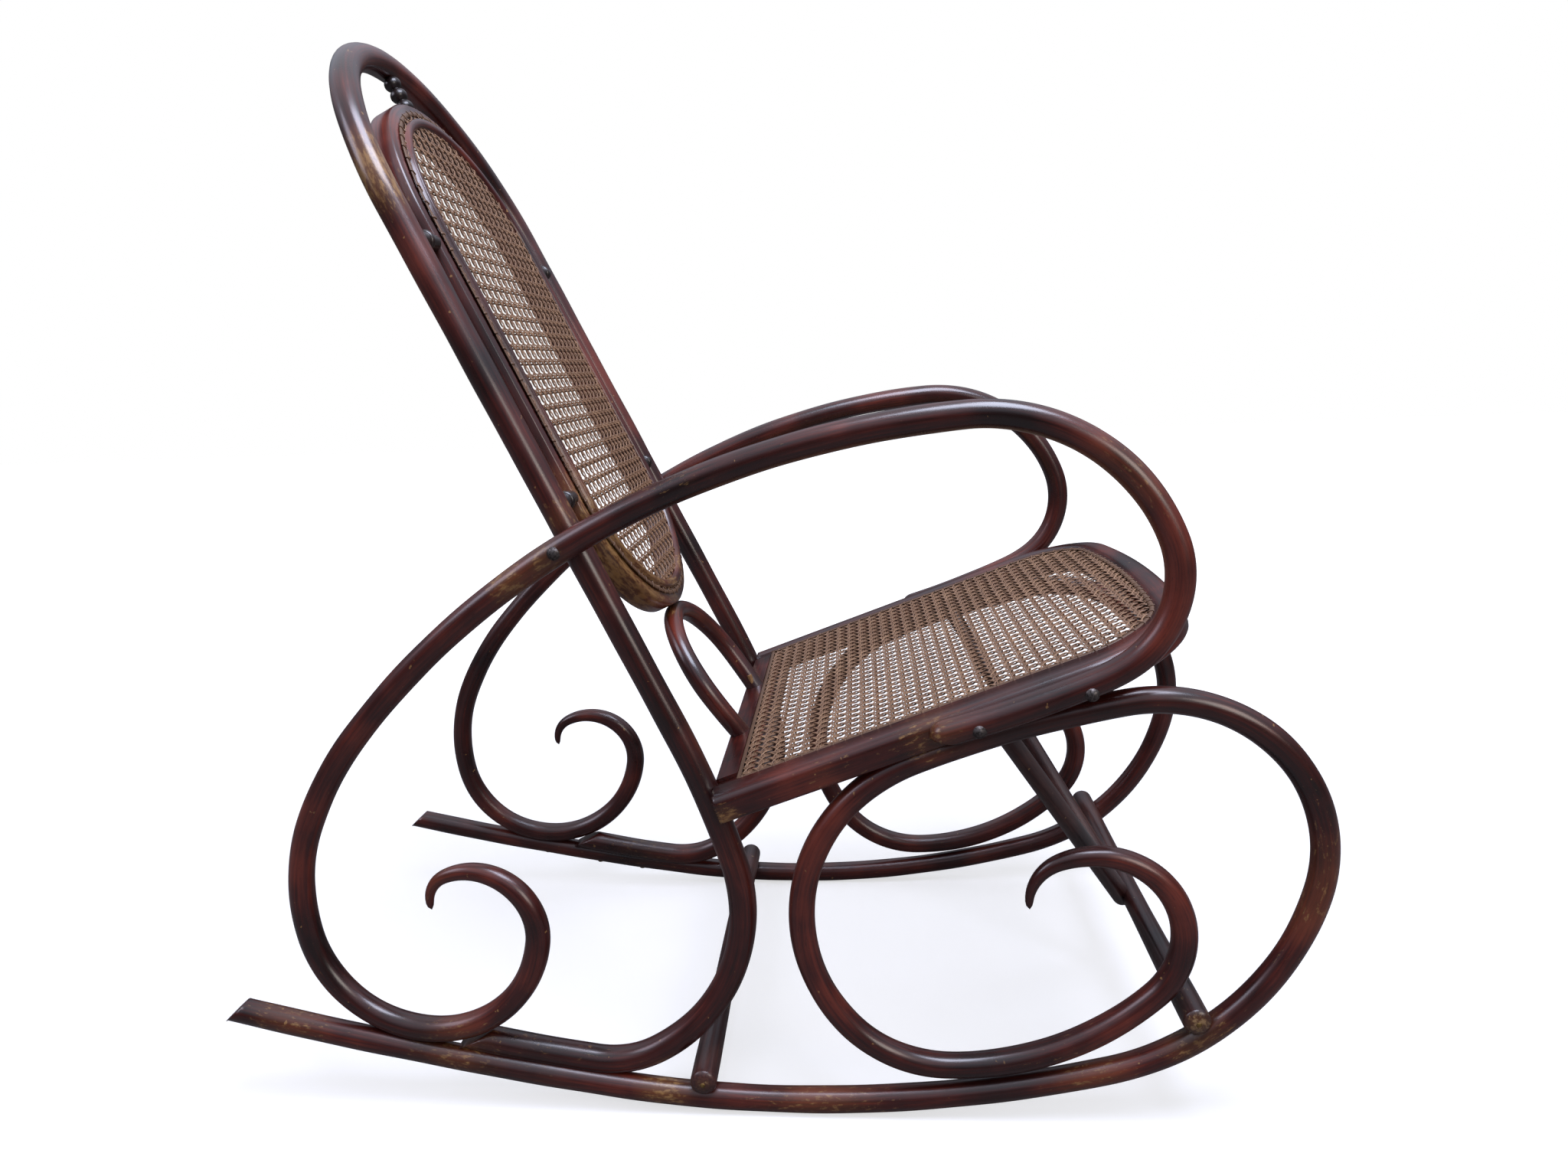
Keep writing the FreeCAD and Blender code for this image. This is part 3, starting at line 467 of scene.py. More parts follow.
def woven_cane(name, pale, middle, dark):
    """Peeled rattan bark, aged. The eye sees flat glossy tan strands, each a little different,
    with painted shade, brown, where they lie low in the weave."""
    material, tree = new_material(name)
    place = add(tree, "Attribute", {"attribute_name": "grain"}).outputs["Vector"]
    tone = add(tree, "Attribute", {"attribute_name": "tone"}).outputs["Fac"]
    low = add(tree, "Attribute", {"attribute_name": "low"}).outputs["Fac"]
    room = add(tree, "TexCoord").outputs["Object"]
    fibre_at = add(tree, "Mapping", {"Scale": cells(*FIBRE)}, Vector=place).outputs[0]
    fibres = add(tree, "TexNoise", {"Scale": 1.0, "Detail": 2.0}, Vector=fibre_at).outputs[0]
    clouds = add(tree, "TexNoise", {"Scale": cells(CANE_CLOUD)[0], "Detail": 4.0, "Roughness": 0.6},
                 Vector=room).outputs[0]
    mixed = add(tree, "Math", {"operation": "MULTIPLY_ADD", 1: 0.35}, i0=fibres, i2=tone).outputs[0]
    mixed = add(tree, "Math", {"operation": "MULTIPLY_ADD", 1: 0.5}, i0=clouds, i2=mixed).outputs[0]
    age = add(tree, "MapRange", {"From Min": 0.45, "From Max": 1.35}, Value=mixed).outputs[0]
    colour = add(tree, "ValToRGB", {"stops": [(0.0, dark), (0.5, middle), (1.0, pale)]},
                 Fac=age).outputs[0]
    # painted shade: strands are darkened where they dip low under others in the weave
    sunk_shade = add(tree, "MapRange", {"From Min": 0.35, "To Max": 0.6}, Value=low).outputs[0]
    colour = add(tree, "Mix", {"data_type": "RGBA", 7: linear(CANE_SUNK_SHADE)}, i0=sunk_shade, i6=colour).outputs[2]
    bump = add(tree, "Bump", {"Strength": 0.2, "Distance": 0.0002}, Height=fibres).outputs[0]
    shader = add(tree, "BsdfPrincipled", {"IOR": 1.5, "Roughness": 0.42}, Base_Color=colour, Normal=bump)
    add(tree, "OutputMaterial", {}, Surface=shader.outputs[0])
    return material


def dull_metal(name, clean, tarnish, roughness):
    """Old turned or pressed metal. The eye sees a dull grain with darker tarnish in patches."""
    material, tree = new_material(name)
    room = add(tree, "TexCoord").outputs["Object"]
    spots = add(tree, "TexNoise", {"Scale": cells(TARNISH_SPOT)[0], "Detail": 4.0, "Roughness": 0.65},
                Vector=room).outputs[0]
    stained = add(tree, "MapRange", {"From Min": 0.35, "From Max": 0.68}, Value=spots).outputs[0]
    colour = add(tree, "ValToRGB", {"stops": [(0.0, clean), (1.0, tarnish)]}, Fac=stained).outputs[0]
    dull = add(tree, "MapRange", {"From Min": 0.3, "From Max": 0.7, "To Min": roughness - 0.1,
                                  "To Max": roughness + 0.2}, Value=spots).outputs[0]
    bump = add(tree, "Bump", {"Strength": 0.3, "Distance": 0.0002}, Height=spots).outputs[0]
    shader = add(tree, "BsdfPrincipled", {"Metallic": 0.85}, Base_Color=colour, Roughness=dull,
                 Normal=bump)
    add(tree, "OutputMaterial", {}, Surface=shader.outputs[0])
    return material


# Wood: deep, middle and light stain, then the bare wood. Cane: pale, middle and dark. Metal: clean, tarnished
MAHOGANY = stained_wood("beech_mahogany_stain", "#1a0706", "#40130e", "#6b2a1c", "#9a7446")
CROSS_WOOD = stained_wood("beech_dark_stain", "#170a09", "#341715", "#553028", "#a08058", shine=0.32,
                          coat=0.5)
EBONISED = stained_wood("beech_ebonised", "#0d0908", "#1a1211", "#2c1f1c", "#5a4030", shine=0.3, coat=0.4)
RAIL_WOOD = stained_wood("beech_mahogany_rail", "#1a0706", "#40130e", "#6b2a1c", "#9a7446",
                         own_grain=False)
BUTTON_WOOD = stained_wood("beech_dark_button", "#0f0807", "#1d100e", "#33201a", "#5a4030",
                           own_grain=False)
BARE_WOOD = stained_wood("beech_bare", "#6b4a2c", "#8f6a42", "#b08a5c", "#b08a5c", shine=0.5, coat=0.0,
                         own_grain=False)
CANE_WEAVE = woven_cane("rattan_strand", "#e0c4a4", "#b8926f", "#7f5f47")
CANE_BINDING = woven_cane("rattan_binding", "#bf9f7c", "#8f6f54", "#634937")
IRON = dull_metal("iron_bolt", "#6a6462", "#2b2523", 0.42)
BRASS = dull_metal("brass_screw", "#a3844f", "#4c3a26", 0.4)


def wooden_rod(name, line, diameter, scale, first, material, nodes, cuts=(), both=True):
    """A rod of bent wood along a line, cut by planes (place, way out, which points). With both, its
    mirror image is made too, under the left-hand name."""
    across, up = carried_frames(line, np.asarray(first, float))
    points, grain, faces = sweep(line, across, up, round_profile(diameter), scale)
    for at, out, room in cuts:
        points = cut_flat(points, at, out, room(points))
    piece(name, points, faces, {"grain": grain, "wear": wear(points), "grime": grime(points)}, material,
          nodes)
    if both:
        other, turned = mirrored(points, faces)
        # the left-hand rod is another length of wood, so its streaks are other ones
        other_grain = grain + np.array([OTHER_LENGTH, 0, 0])
        piece(name.replace("right", "left"), other, turned,
              {"grain": other_grain, "wear": wear(other) * 0.8, "grime": grime(other)}, material,
              [n.replace("right", "left") for n in nodes])


def thinning(line, length, diameter, tip):
    """Scale of a rod that thins over its last stretch to a rounded tip."""
    gaps = np.linalg.norm(np.diff(line, axis=0), axis=1)
    left = np.r_[np.cumsum(gaps[::-1])[::-1], 0.0]
    share = np.clip(1 - left / length, 0, 1)
    scale = (diameter + (tip - diameter) * share ** 3) / diameter
    rounded = np.sqrt(np.clip(left / (tip * 0.9), 0, 1)) * 0.9 + 0.1
    return scale * rounded


def runners():
    """The long rods that stand on the floor, from the sawn tail to the curl inside the front loop."""
    flat, _ = bent_line(RUNNER_START, RUNNER_HEADING, RUNNER_BENDS)
    line = side_rod(flat, RUNNER_OUT, RUNNER_SPLAY)
    scale = thinning(line, RUNNER_CURL_LENGTH, ROD, CURL_TIP) * hand_shaved(line, ROD, 11)
    toe = (0, RUNNER_START[0] + TAIL_TOE[0], RUNNER_START[1] + TAIL_TOE[1])
    tail = (toe, TAIL_CUT, lambda p: p[:, 1] > TAIL_FROM)
    wooden_rod("runner_right", line, ROD, scale, (1, 0, 0), MAHOGANY, ["runner_right"],
               [tail])


def arms():
    """The arm rods, from the lap on the rail, forward, up and over, to the curl on the runner."""
    flat, _ = bent_line(ARM_START, ARM_HEADING, ARM_BENDS)
    line = side_rod(flat, ARM_OUT, ARM_SPLAY)
    scale = thinning(line, ARM_CURL_LENGTH, ROD, CURL_TIP) * hand_shaved(line, ROD, 12)
    nose = np.linalg.norm(line - line[0], axis=1) / ARM_NOSE
    scale *= np.sqrt(np.clip(1 - np.clip(1 - nose, 0, 1) ** 2, 0.01, 1))
    # the lap is sawn off below and planed flat where it lies against the rail
    heel = (0, ARM_START[0] + ARM_HEEL[0], ARM_START[1] + ARM_HEEL[1])
    lap = (heel, HEEL_CUT,
           lambda p: (p[:, 1] > LAP_FRONT) & (p[:, 1] < LAP_REAR) & (p[:, 2] < LAP_TOP))
    side = ((-SEAT_HALF, 0, 0), (1, 0, 0),
            lambda p: (p[:, 1] > FLAT_FRONT) & (p[:, 1] < FLAT_REAR) & (p[:, 2] < FLAT_TOP))
    wooden_rod("arm_right", line, ROD, scale, (1, 0, 0), MAHOGANY, ["arm_right"],
               [lap, side])


def hoop_line():
    """Centre line of the right half of the hoop, crown to foot."""
    flat, heading = bent_line((0.0, 0.0), 0.0, HOOP_BENDS)
    upper = on_back(-flat[:, 0], flat[:, 1])
    outward = math.tan(math.radians(90 - heading)) / math.cos(LEAN)
    stretch = math.hypot(1.0, outward)
    start = upper[-1]
    low, _ = bent_line((start[1], start[2]), -90 - math.degrees(LEAN), FOOT_BENDS)
    fall = (low[:, 1] - start[2]) / stretch
    lower = np.c_[start[0] + outward * fall, low[:, 0], start[2] + fall]
    return np.vstack([upper, lower[1:]])


def hoop():
    """The back hoop in one rod, from foot to foot, each foot sawn to lie on its runner."""
    half = hoop_line()
    line = np.vstack([half[::-1], (half * np.array([-1.0, 1, 1]))[1:]])
    tip = half[-1]
    along = unit(half[-1] - half[-2])
    rise = np.array([0, -along[2], along[1]])
    cuts = []
    for side in (1.0, -1.0):
        flip = np.array([side, 1.0, 1.0])
        out = rise * FOOT_RISE + along * FOOT_RUN
        cuts.append(((tip - rise * FOOT_TOE) * flip, out * flip,
                     lambda p, s=side: (p[:, 0] * s < 0) & (p[:, 1] > tip[1] - 70) & (p[:, 2] < 120)))
    scale = hand_shaved(line, HOOP_ROD, 13)
    wooden_rod("back_hoop", line, HOOP_ROD, scale, (1, 0, 0), MAHOGANY, ["back_hoop"],
               cuts, both=False)


def base_bend():
    """Radius of the base arc that closes the rim on its middle line, and its turn."""
    flat, heading = bent_line((0.0, 0.0), 0.0, RIM_BENDS)
    turn = 180 - heading
    return flat[-1][0] / math.sin(math.radians(turn)), turn


def oval(offset=0.0, step=4.0):
    """Closed outline of the back panel as (side, down), offset from the rim's centre line."""
    bends = [(r + offset if r else 0, t) for r, t in RIM_BENDS]
    radius, turn = base_bend()
    right, _ = bent_line((0.0, RIM_TOP - offset), 0.0, bends + [(radius + offset, turn)], step)
    left = right[::-1] * np.array([-1.0, 1.0])
    return np.vstack([right[:-1], left[:-1]])


def rounded_bar(width, depth, radius, around=5):
    """Rounded rectangle as a profile: first axis width, second depth."""
    spots = []
    for cx, cy, start in ((1, 1, 0), (-1, 1, 90), (-1, -1, 180), (1, -1, 270)):
        for i in range(around + 1):
            a = math.radians(start + 90 * i / around)
            spots.append((cx * (width / 2 - radius) + radius * math.cos(a),
                          cy * (depth / 2 - radius) + radius * math.sin(a)))
    return np.array(spots)


def closed_bar(name, flat, place, normal, profile, material, nodes):
    """A bar of wood that runs round a closed flat outline."""
    line = place(flat[:, 0], flat[:, 1])
    t = tangents(line, closed=True)
    up = np.broadcast_to(normal, line.shape)
    across = unit(np.cross(up, t))
    points, grain, faces = sweep(line, across, up, profile, closed=True)
    piece(name, points, faces, {"grain": grain, "wear": wear(points), "grime": grime(points)}, material,
          nodes)


def back_rim():
    """Bent bar with rounded outer edges and a step at the front, in which the net lies."""
    bar = rounded_bar(RIM_WIDTH, RIM_DEPTH, RIM_ROUND)
    half, front = RIM_WIDTH / 2, RIM_DEPTH / 2
    step = BACK_BINDING + BINDING_CANE / 2 + 0.4
    outer = [spot for spot in bar if spot[0] > 0]
    inner = [spot for spot in bar if spot[0] < 0 and spot[1] < 0]
    floor = BACK_CANE_FORWARD - 3.4
    notch = [(step + 0.8, front), (step, front - 0.8), (step - 0.3, floor), (2 - half, floor),
             (-half, floor - 2)]
    profile = np.array(outer[:6] + notch + inner + outer[6:])
    closed_bar("back_rim", oval(), lambda a, b: on_back(-a, b), BACK_FRONT, profile, MAHOGANY,
               ["back_rim"])


def seat_outline(side, rear, front, step=4.0):
    """Seat outline as (side, forward) from the right rear corner, round the front, to the left rear."""
    corner = SEAT_CORNER - side
    half = SEAT_HALF - side
    bow = SEAT_BOW - front
    bow_centre = SEAT_LENGTH - SEAT_BOW
    middle = half - corner
    along = bow_centre + math.sqrt((bow - corner) ** 2 - middle ** 2)
    turn = math.degrees(math.atan2(along - bow_centre, middle))
    bends = [(0, along - rear), (corner, turn), (bow, 90 - turn)]
    right, _ = bent_line((half, rear), 90.0, bends, step)
    return np.vstack([right, (right[::-1] * np.array([-1.0, 1.0]))[1:]])


def seat_frame():
    """Side rails and front in one bent bar, with a shoulder that the cane lies on."""
    edge = seat_outline(0.0, 0.0, 0.0, 3.0)
    line = on_seat(-edge[:, 0], edge[:, 1])
    out = unit(np.cross(tangents(line), SEAT_UP))
    up = np.broadcast_to(SEAT_UP, line.shape)
    # the bar is widest at the sides and a little slimmer at the front
    share = np.clip((edge[:, 1] - (SEAT_LENGTH - 130)) / 110, 0, 1)
    width = RAIL_WIDTH + (FRONT_RAIL_WIDTH - RAIL_WIDTH) * share
    shoulder = BINDING_SIDE - 3.0 + (BINDING_FRONT - BINDING_SIDE) * share
    spots = [(-x, -RAIL_DEPTH + z) for x, z in
             [(RAIL_LOWER_ROUND - RAIL_LOWER_ROUND * math.sin(a),
               RAIL_LOWER_ROUND - RAIL_LOWER_ROUND * math.cos(a)) for a in np.linspace(0, 1.57, 5)]]
    spots += [(-RAIL_ROUND + RAIL_ROUND * math.cos(a), -RAIL_ROUND + RAIL_ROUND * math.sin(a))
              for a in np.linspace(0, 1.57, 8)]
    profile = np.array(spots)
    fixed = line[:, None, :] + profile[None, :, :1] * out[:, None, :] + profile[None, :, 1:] * up[:, None, :]
    steps = [(shoulder, 0.0), (shoulder + 1.0, -0.8), (shoulder + 1.4, -3.0), (width - 2.0, -3.4),
             (width, -5.0), (width, -RAIL_DEPTH + 2.0), (width - 2.0, -RAIL_DEPTH)]
    inner = np.stack([line - out * np.broadcast_to(x, len(line))[:, None] + up * z for x, z in steps], axis=1)
    points = np.concatenate([fixed, inner], axis=1)
    rings, around = points.shape[:2]
    along = np.r_[0.0, np.cumsum(np.linalg.norm(np.diff(line, axis=0), axis=1))]
    ring = np.cumsum(np.linalg.norm(np.diff(points, axis=1, prepend=points[:, :1]), axis=2), axis=1)
    grain = np.stack([np.broadcast_to(along[:, None], ring.shape), ring, ring * 0], axis=2)
    grain = grain.reshape(-1, 3) * MM
    points = points.reshape(-1, 3)
    piece("seat_frame", points, ring_faces(rings, around),
          {"grain": grain, "wear": wear(points), "grime": grime(points)}, MAHOGANY,
          ["seat_frame"])


def inside(polygon, a, b):
    """Which points (a, b) lie inside a closed polygon."""
    result = np.zeros(a.shape, bool)
    x, y = polygon[:, 0], polygon[:, 1]
    for i in range(len(x)):
        j = i - 1
        straddles = (y[i] > b) != (y[j] > b)
        with np.errstate(divide="ignore", invalid="ignore"):
            cross = (x[j] - x[i]) * (b - y[i]) / (y[j] - y[i]) + x[i]
        result ^= straddles & (a < cross)
    return result


def strand_profile(width):
    """Section of a split cane strand: flat below, rounded above."""
    half, thick = width / 2, STRAND_THICK / 2
    return np.array([(half, -thick * 0.3), (half * 0.6, thick * 0.8), (-half * 0.6, thick * 0.8),
                     (-half, -thick * 0.3), (-half * 0.7, -thick), (half * 0.7, -thick)])


def weave(name, outline, holes, place, normal, sag, seed, nodes):
    """Six-way cane: pairs both ways and a diagonal each way, over and under, clipped to an outline.
    Each strand has its way, its place, how far it rises where strands cross, and its width."""
    draw = np.random.default_rng(seed)
    low_a, high_a = outline[:, 0].min(), outline[:, 0].max()
    low_b, high_b = outline[:, 1].min(), outline[:, 1].max()
    mid_a, mid_b = (low_a + high_a) / 2, (low_b + high_b) / 2
    reach = int((high_b - low_b + high_a - low_a) / holes) + 2
    pair = STRAND * 0.54
    strands = []
    for i in range(-reach, reach + 1):
        for k, lift in ((-1, -0.75), (1, 0.35)):
            strands.append(("ahead", i * holes + k * pair, lift, STRAND))
        for k, lift in ((-1, -0.35), (1, 0.75)):
            strands.append(("across", i * holes + k * pair, lift, STRAND))
        strands.append(("rising", (i + 0.5) * holes, 1.25, DIAGONAL_STRAND))
        strands.append(("falling", (i + 0.5) * holes, -1.25, DIAGONAL_STRAND))
    span = np.arange(-reach * holes, reach * holes, holes / 6)
    points, grains, tones, lows, faces = [], [], [], [], []
    total = 0
    for way, at, lift, width in strands:
        sway = 0.35 * np.sin(span / draw.uniform(60, 140) + draw.uniform(0, 6.28)) + draw.uniform(-0.2, 0.2)
        height = lift * np.cos(2 * math.pi * span / holes)
        slope = {"ahead": 0, "across": 0, "rising": 1, "falling": -1}[way]
        a, b = span, slope * span + at + sway
        if way == "ahead":
            a, b = b, a
        keep = inside(outline, a + mid_a, b + mid_b)
        if keep.sum() < 4:
            continue
        first, last = np.flatnonzero(keep)[[0, -1]]
        a, b, height = (v[first:last + 1] for v in (a, b, height))
        dip = sag * np.clip(1 - (a / (high_a - low_a) * 2) ** 2, 0, 1)
        dip *= np.clip(1 - (b / (high_b - low_b) * 2) ** 2, 0, 1)
        line = place(a + mid_a, b + mid_b, height - dip)
        t = tangents(line)
        side = unit(np.cross(t, normal))
        up = np.cross(side, t)
        profile = strand_profile(width)
        rings, grain, quads = sweep(line, side, up, profile)
        grains.append(grain + np.array([draw.uniform(0, 40), draw.uniform(0, 1), 0]))
        tones.append(np.full(len(rings), draw.uniform(-0.12, 0.18)))
        # how low each strand lies, which the cane's material darkens as painted shade
        lows.append(np.repeat(np.clip(0.45 - height * 0.35, 0, 1), len(profile)))
        faces += [tuple(v + total for v in face) for face in quads]
        points.append(rings)
        total += len(rings)
    facts = {"grain": np.vstack(grains), "tone": np.concatenate(tones), "low": np.concatenate(lows)}
    piece(name, np.vstack(points), faces, facts, CANE_WEAVE, nodes)


def binding(name, outline, holes, place, normal, seed, nodes):
    """Flat binding cane laid over the strands' ends, tied down by a small loop at every hole."""
    draw = np.random.default_rng(seed)
    line = place(outline[:, 0], outline[:, 1], 0.9)
    t = tangents(line, closed=True)
    up = np.broadcast_to(normal, line.shape)
    across = unit(np.cross(up, t))
    half = BINDING_CANE / 2
    flat = np.array([(half, -0.6), (half * 0.7, 0.45), (0, 0.7), (-half * 0.7, 0.45), (-half, -0.6),
                     (0, -0.7)])
    points, grain, faces = sweep(line, across, up, flat, closed=True)
    count = len(points)
    groups, grains, tones = [points], [grain], [np.full(count, 0.02)]
    gaps = np.linalg.norm(np.roll(line, -1, 0) - line, axis=1)
    along = np.r_[0.0, np.cumsum(gaps)]
    number = int(along[-1] / holes)
    over = np.linspace(-1, 1, 9)
    for i in range(number):
        at = (i + 0.5) / number * along[-1]
        index = min(int(np.searchsorted(along, at)) - 1, len(line) - 1)
        centre, out, ahead = line[index], across[index], t[index]
        rise = LOOP_RISE * np.sqrt(1 - (over * 0.93) ** 2) - LOOP_SUNK
        loop = centre + np.outer(over * (half + LOOP_SUNK), out) + np.outer(rise, up[index])
        loop += np.outer(over * draw.uniform(-0.5, 0.5), ahead)
        side = np.broadcast_to(ahead, loop.shape)
        rings, grain, quads = sweep(loop, side, np.cross(tangents(loop), side), strand_profile(STRAND))
        faces += [tuple(v + count for v in face) for face in quads]
        groups.append(rings)
        grains.append(grain + draw.uniform(0, 5))
        tones.append(np.full(len(rings), draw.uniform(-0.1, 0.15)))
        count += len(rings)
    facts = {"grain": np.vstack(grains), "tone": np.concatenate(tones), "low": np.full(count, 0.25)}
    piece(name, np.vstack(groups), faces, facts, CANE_BINDING, nodes)


def cane_work():
    """Seat and back nets with their bindings."""
    def seat_place(a, b, up):
        return on_seat(-a, b, up - CANE_DOWN)

    def back_place(a, b, up):
        return on_back(-a, b, BACK_CANE_FORWARD + up - CANE_DOWN)

    seat_edge = seat_outline(BINDING_SIDE, BINDING_REAR, BINDING_FRONT)
    back_edge = oval(BACK_BINDING)
    weave("seat_cane", seat_edge, SEAT_HOLES, seat_place, SEAT_UP, SEAT_SAG, 21, ["seat_cane"])
    weave("back_cane", back_edge, BACK_HOLES, back_place, BACK_FRONT, BACK_BULGE, 22, ["back_cane"])
    binding("seat_binding", seat_edge, SEAT_HOLES, seat_place, SEAT_UP, 23, ["seat_binding"])
    binding("back_binding", back_edge, BACK_HOLES, back_place, BACK_FRONT, 24, ["back_binding"])


def ring_loop():
    """The ring under the back panel, with two short legs let into the rear rail."""
    foot = on_seat(0.0, RING_FOOT)
    top = np.array(RING_TOP)
    up = unit(top - foot)
    radius, turn = RING_LEG_BEND
    leg_rise = radius * math.sin(math.radians(turn))
    inward = radius * (1 - math.cos(math.radians(turn)))
    lift = np.linalg.norm(top - foot) - RING_RADIUS - leg_rise
    lean = math.radians(90 + turn)
    start = (-(RING_RADIUS - inward) - RING_SUNK * math.cos(lean), lift - RING_SUNK * math.sin(lean))
    bends = [(0, RING_SUNK), (radius, -turn), (RING_RADIUS, -180.0), (radius, -turn), (0, RING_SUNK)]
    flat, _ = bent_line(start, 90 + turn, bends)
    line = foot + np.outer(-flat[:, 0], SIDEWAYS) + np.outer(flat[:, 1], up)
    wooden_rod("ring_loop", line, RING_ROD, hand_shaved(line, RING_ROD, 14), np.cross(SIDEWAYS, up),
               MAHOGANY, ["ring_loop"], both=False)


def stretcher(name, at):
    """Turned cross rod: thickest near its ends, slimmer in the middle, domed at both ends."""
    half = RUNNER_OUT - RUNNER_SPLAY * at[0] + STRETCHER_OVERHANG
    sides = np.unique(np.r_[np.linspace(-half, half, 120), np.linspace(half - 7, half, 9),
                            -np.linspace(half - 7, half, 9)])
    line = np.c_[sides, np.full(len(sides), at[0]), np.full(len(sides), at[1])]
    away = np.abs(sides)
    radius = np.interp(away, [0, 60, half - 40, half - DOME],
                       [STRETCHER_WAIST, STRETCHER_WAIST, STRETCHER_END, STRETCHER_END])
    radius *= np.sqrt(np.clip(1 - np.clip((away - half + DOME) / (DOME + 0.05), 0, 1) ** 2, 0.0016, 1))
    across = np.broadcast_to([0, 1.0, 0], line.shape)
    up = np.broadcast_to([0, 0, 1.0], line.shape)
    points, grain, faces = sweep(line, across, up, round_profile(2.0), radius)
    piece(name, points, faces, {"grain": grain + 1.7, "wear": wear(points), "grime": grime(points)},
          CROSS_WOOD, [name])


def braces():
    """Straight rods from the side rails to the middle of the front stretcher, rounded at the foot."""
    top, foot = np.array(BRACE_TOP), np.array(BRACE_FOOT)
    length = np.linalg.norm(foot - top)
    down = (foot - top) / length
    place = np.r_[np.linspace(8, length, 60), length + np.linspace(1, 22.5, 14)]
    line = top + np.outer(place, down)
    radius = np.interp(place, [0, length + BRACE_PAST], [BRACE_THIN, BRACE_THICK])
    rounding = np.clip((place - length - BRACE_PAST) / (BRACE_THICK - 0.2), 0, 1)
    radius *= np.sqrt(np.clip(1 - rounding ** 2, 0.0016, 1))
    # the feet meet in the chair's middle plane, and the tops end under the rails
    keep = ((0, 0, 0), (1, 0, 0), lambda p: p[:, 2] < 160)
    under = (on_seat(0.0, 0.0, -RAIL_DEPTH), SEAT_UP, lambda p: p[:, 2] > 360)
    wooden_rod("brace_right", line, 2.0, radius, (0, 1, 0), CROSS_WOOD, ["brace_right"],
               [keep, under])


def spindle():
    """Three beads between the hoop's crown and the rim."""
    top, bottom = HOOP_ROD / 2, RIM_TOP - RIM_WIDTH / 2
    place = np.linspace(top - 3, bottom + 2, 90)
    share = np.clip((place - top) / (bottom - top), 0, 1)
    radius = SPINDLE_NECK + SPINDLE_SWELL * np.abs(np.sin(share * math.pi * BEADS)) ** 0.6
    line = on_back(0.0, place)
    across, up = np.broadcast_to(SIDEWAYS, line.shape), np.broadcast_to(BACK_FRONT, line.shape)
    points, grain, faces = sweep(line, across, up, round_profile(2.0), radius)
    facts = {"grain": grain, "wear": wear(points) * 0.2, "grime": grime(points)}
    piece("crown_spindle", points, faces, facts, EBONISED, ["crown_spindle"])


def finish_kept_nodes():
    """Materials of the pieces that are shown as they were built."""
    finishes = {"seat_rear_rail": RAIL_WOOD, "rim_spacer": BUTTON_WOOD, "bolts": IRON, "screws": BRASS,
                "pins": BARE_WOOD, "dowels": BARE_WOOD}
    for node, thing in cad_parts.items():
        if thing.hide_render:
            continue
        for word, material in finishes.items():
            if word in node:
                thing.data.materials.clear()
                thing.data.materials.append(material)


# The studio's colours and places, in metres: lamps as name, place, size, watts and colour
PAPER, DULL_FLOOR, WHITE = "#b4b4b8", "#6a6664", (1, 1, 1, 1)
FLOOR_HALF = 9
SHADOW_ROOM, PAPER_GLOW = (0.8, 2.0), (0.62, 1.0)
SKY = [(0.0, "#3c3a3a"), (0.3, "#5c5c62"), (0.6, "#c4cada"), (1.0, "#eef2ff")]
LAMPS = [
    ("soft_overhead", (-0.6, -0.5, 2.7), 1.3, 62, "#e2e8ff"),
    ("soft_front", (-2.2, -2.2, 1.7), 1.2, 22, "#fff4ea"),
    ("soft_back", (-1.0, 2.4, 2.0), 1.2, 16, "#eeeaff"),
]
LAMPS_AIM = (0, 0, 0.5)


def paper_floor():
    """The white paper that the chair stands on."""
    side = FLOOR_HALF
    mesh = bpy.data.meshes.new("studio_floor")
    mesh.from_pydata([(-side, -side, 0), (side, -side, 0), (side, side, 0), (-side, side, 0)], [],
                     [(0, 1, 2, 3)])
    floor = bpy.data.objects.new("studio_floor", mesh)
    bpy.context.scene.collection.objects.link(floor)
    material, tree = new_material("studio_paper")
    paper = add(tree, "BsdfDiffuse", {"Color": linear(PAPER)})
    place = add(tree, "NewGeometry").outputs["Position"]
    away = add(tree, "VectorMath", {"operation": "LENGTH"}, i0=place).outputs["Value"]
    # past the chair's shadow the paper is plain white to the eye
    fade = {"From Min": SHADOW_ROOM[0], "From Max": SHADOW_ROOM[1], "To Min": PAPER_GLOW[0],
            "To Max": PAPER_GLOW[1]}
    strength = add(tree, "MapRange", fade, Value=away).outputs[0]
    glow = add(tree, "Emission", {"Color": WHITE}, Strength=strength)
    seen = add(tree, "AddShader", {}, i0=paper.outputs[0], i1=glow.outputs[0])
    # what the paper throws back on the chair is as weak as a dull floor's light
    dull = add(tree, "BsdfDiffuse", {"Color": linear(DULL_FLOOR)})
    both = add(tree, "MixShader", {}, i0=add(tree, "LightPath").outputs["Is Camera Ray"],
               i1=dull.outputs[0], i2=seen.outputs[0])
    add(tree, "OutputMaterial", {}, Surface=both.outputs[0])
    mesh.materials.append(material)


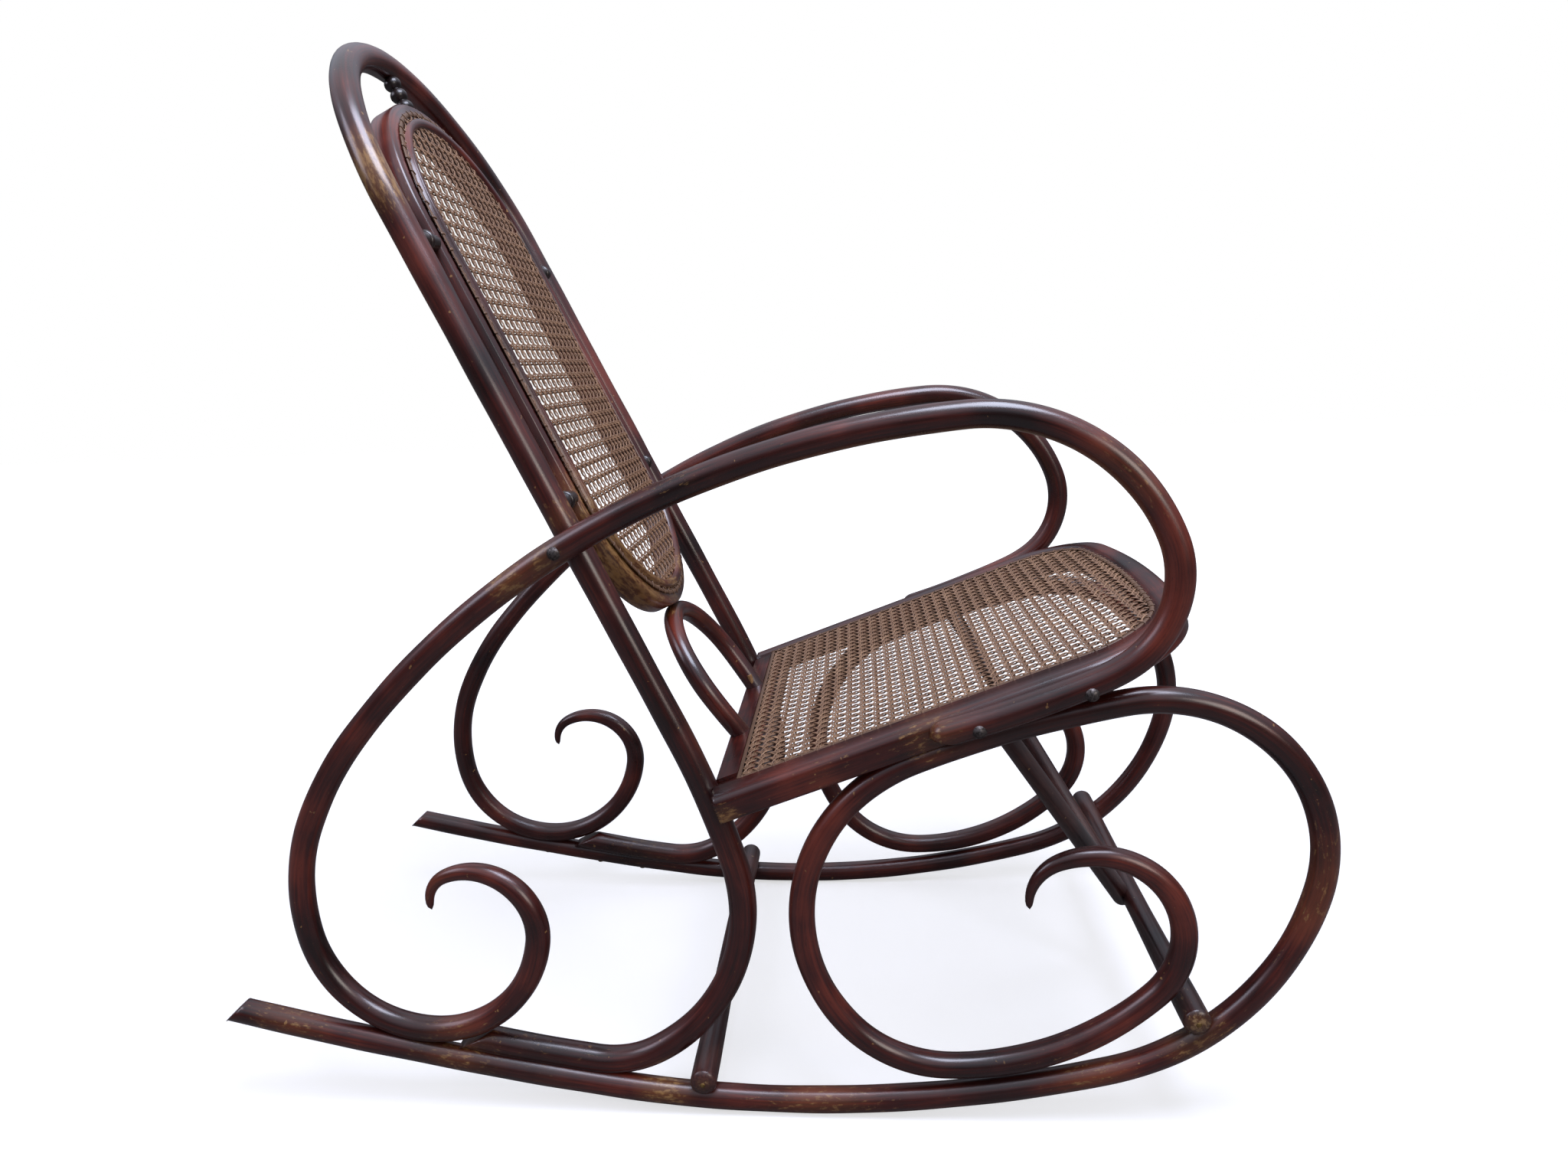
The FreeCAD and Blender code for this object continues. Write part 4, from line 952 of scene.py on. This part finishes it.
def studio_air():
    """White behind the chair. The varnish mirrors a sky, bright overhead and dark at the horizon."""
    world = bpy.data.worlds.new("studio_air")
    bpy.context.scene.world = world
    world.use_nodes = True
    tree = world.node_tree
    tree.nodes.clear()
    way = add(tree, "TexCoord").outputs["Generated"]
    up = add(tree, "SeparateXYZ", {}, i0=way).outputs[2]
    height = add(tree, "MapRange", {"From Min": -0.1}, Value=up).outputs[0]
    sky = add(tree, "ValToRGB", {"stops": SKY}, Fac=height).outputs[0]
    light = add(tree, "Background", {"Strength": 0.95}, Color=sky)
    white = add(tree, "Background", {"Color": WHITE, "Strength": 1.0})
    path = add(tree, "LightPath")
    seen = add(tree, "Math", {"operation": "MAXIMUM"}, i0=path.outputs["Is Camera Ray"],
               i1=path.outputs["Is Transmission Ray"]).outputs[0]
    mix = add(tree, "MixShader", {}, i0=seen, i1=light.outputs[0], i2=white.outputs[0])
    add(tree, "OutputWorld", {}, Surface=mix.outputs[0])


def lamps():
    """Three soft lamps, turned to the middle of the chair."""
    for name, at, size, power, colour in LAMPS:
        lamp = bpy.data.lights.new(name, "AREA")
        lamp.size = size
        lamp.energy = power
        lamp.color = linear(colour)[:3]
        thing = bpy.data.objects.new(name, lamp)
        thing.location = at
        aim = Vector(LAMPS_AIM) - Vector(at)
        thing.rotation_euler = aim.to_track_quat("-Z", "Y").to_euler()
        bpy.context.scene.collection.objects.link(thing)


# Camera, fitted in the drawing's frame: place in millimetres, turn and dip in degrees, focal pixels
EYE = (-1104.9, 0.0, 722.3)
LOOK_TURN, LOOK_DIP = math.radians(3.79), math.radians(-12.44)
FOCAL_PIXELS, PHOTO_WIDTH, SENSOR = 1340.0, 2048.0, 36.0


def camera():
    """The camera at the photo's place, tipped with the chair to its rest angle."""
    look = np.array([math.cos(LOOK_DIP) * math.cos(LOOK_TURN), math.cos(LOOK_DIP) * math.sin(LOOK_TURN),
                     math.sin(LOOK_DIP)])
    right = unit(np.cross(look, [0, 0, 1.0]))
    up = np.cross(right, look)
    turn = np.array([[1, 0, 0], [0, math.cos(REST_TILT), -math.sin(REST_TILT)],
                     [0, math.sin(REST_TILT), math.cos(REST_TILT)]])
    axes = turn @ np.c_[right, up, -look]
    data = bpy.data.cameras.new("photo_camera")
    data.sensor_width = SENSOR
    data.lens = SENSOR * FOCAL_PIXELS / PHOTO_WIDTH
    data.clip_start = 0.05
    thing = bpy.data.objects.new("photo_camera", data)
    place = settle([EYE])[0]
    thing.matrix_world = Matrix([list(axes[i]) + [place[i]] for i in range(3)] + [[0, 0, 0, 1]])
    bpy.context.scene.collection.objects.link(thing)
    bpy.context.scene.camera = thing


runners()
arms()
hoop()
back_rim()
seat_frame()
cane_work()
ring_loop()
stretcher("front_stretcher", FRONT_STRETCHER)
stretcher("rear_stretcher", REAR_STRETCHER)
braces()
spindle()
finish_kept_nodes()
paper_floor()
studio_air()
lamps()
camera()

bpy.context.scene.view_settings.view_transform = "Standard"
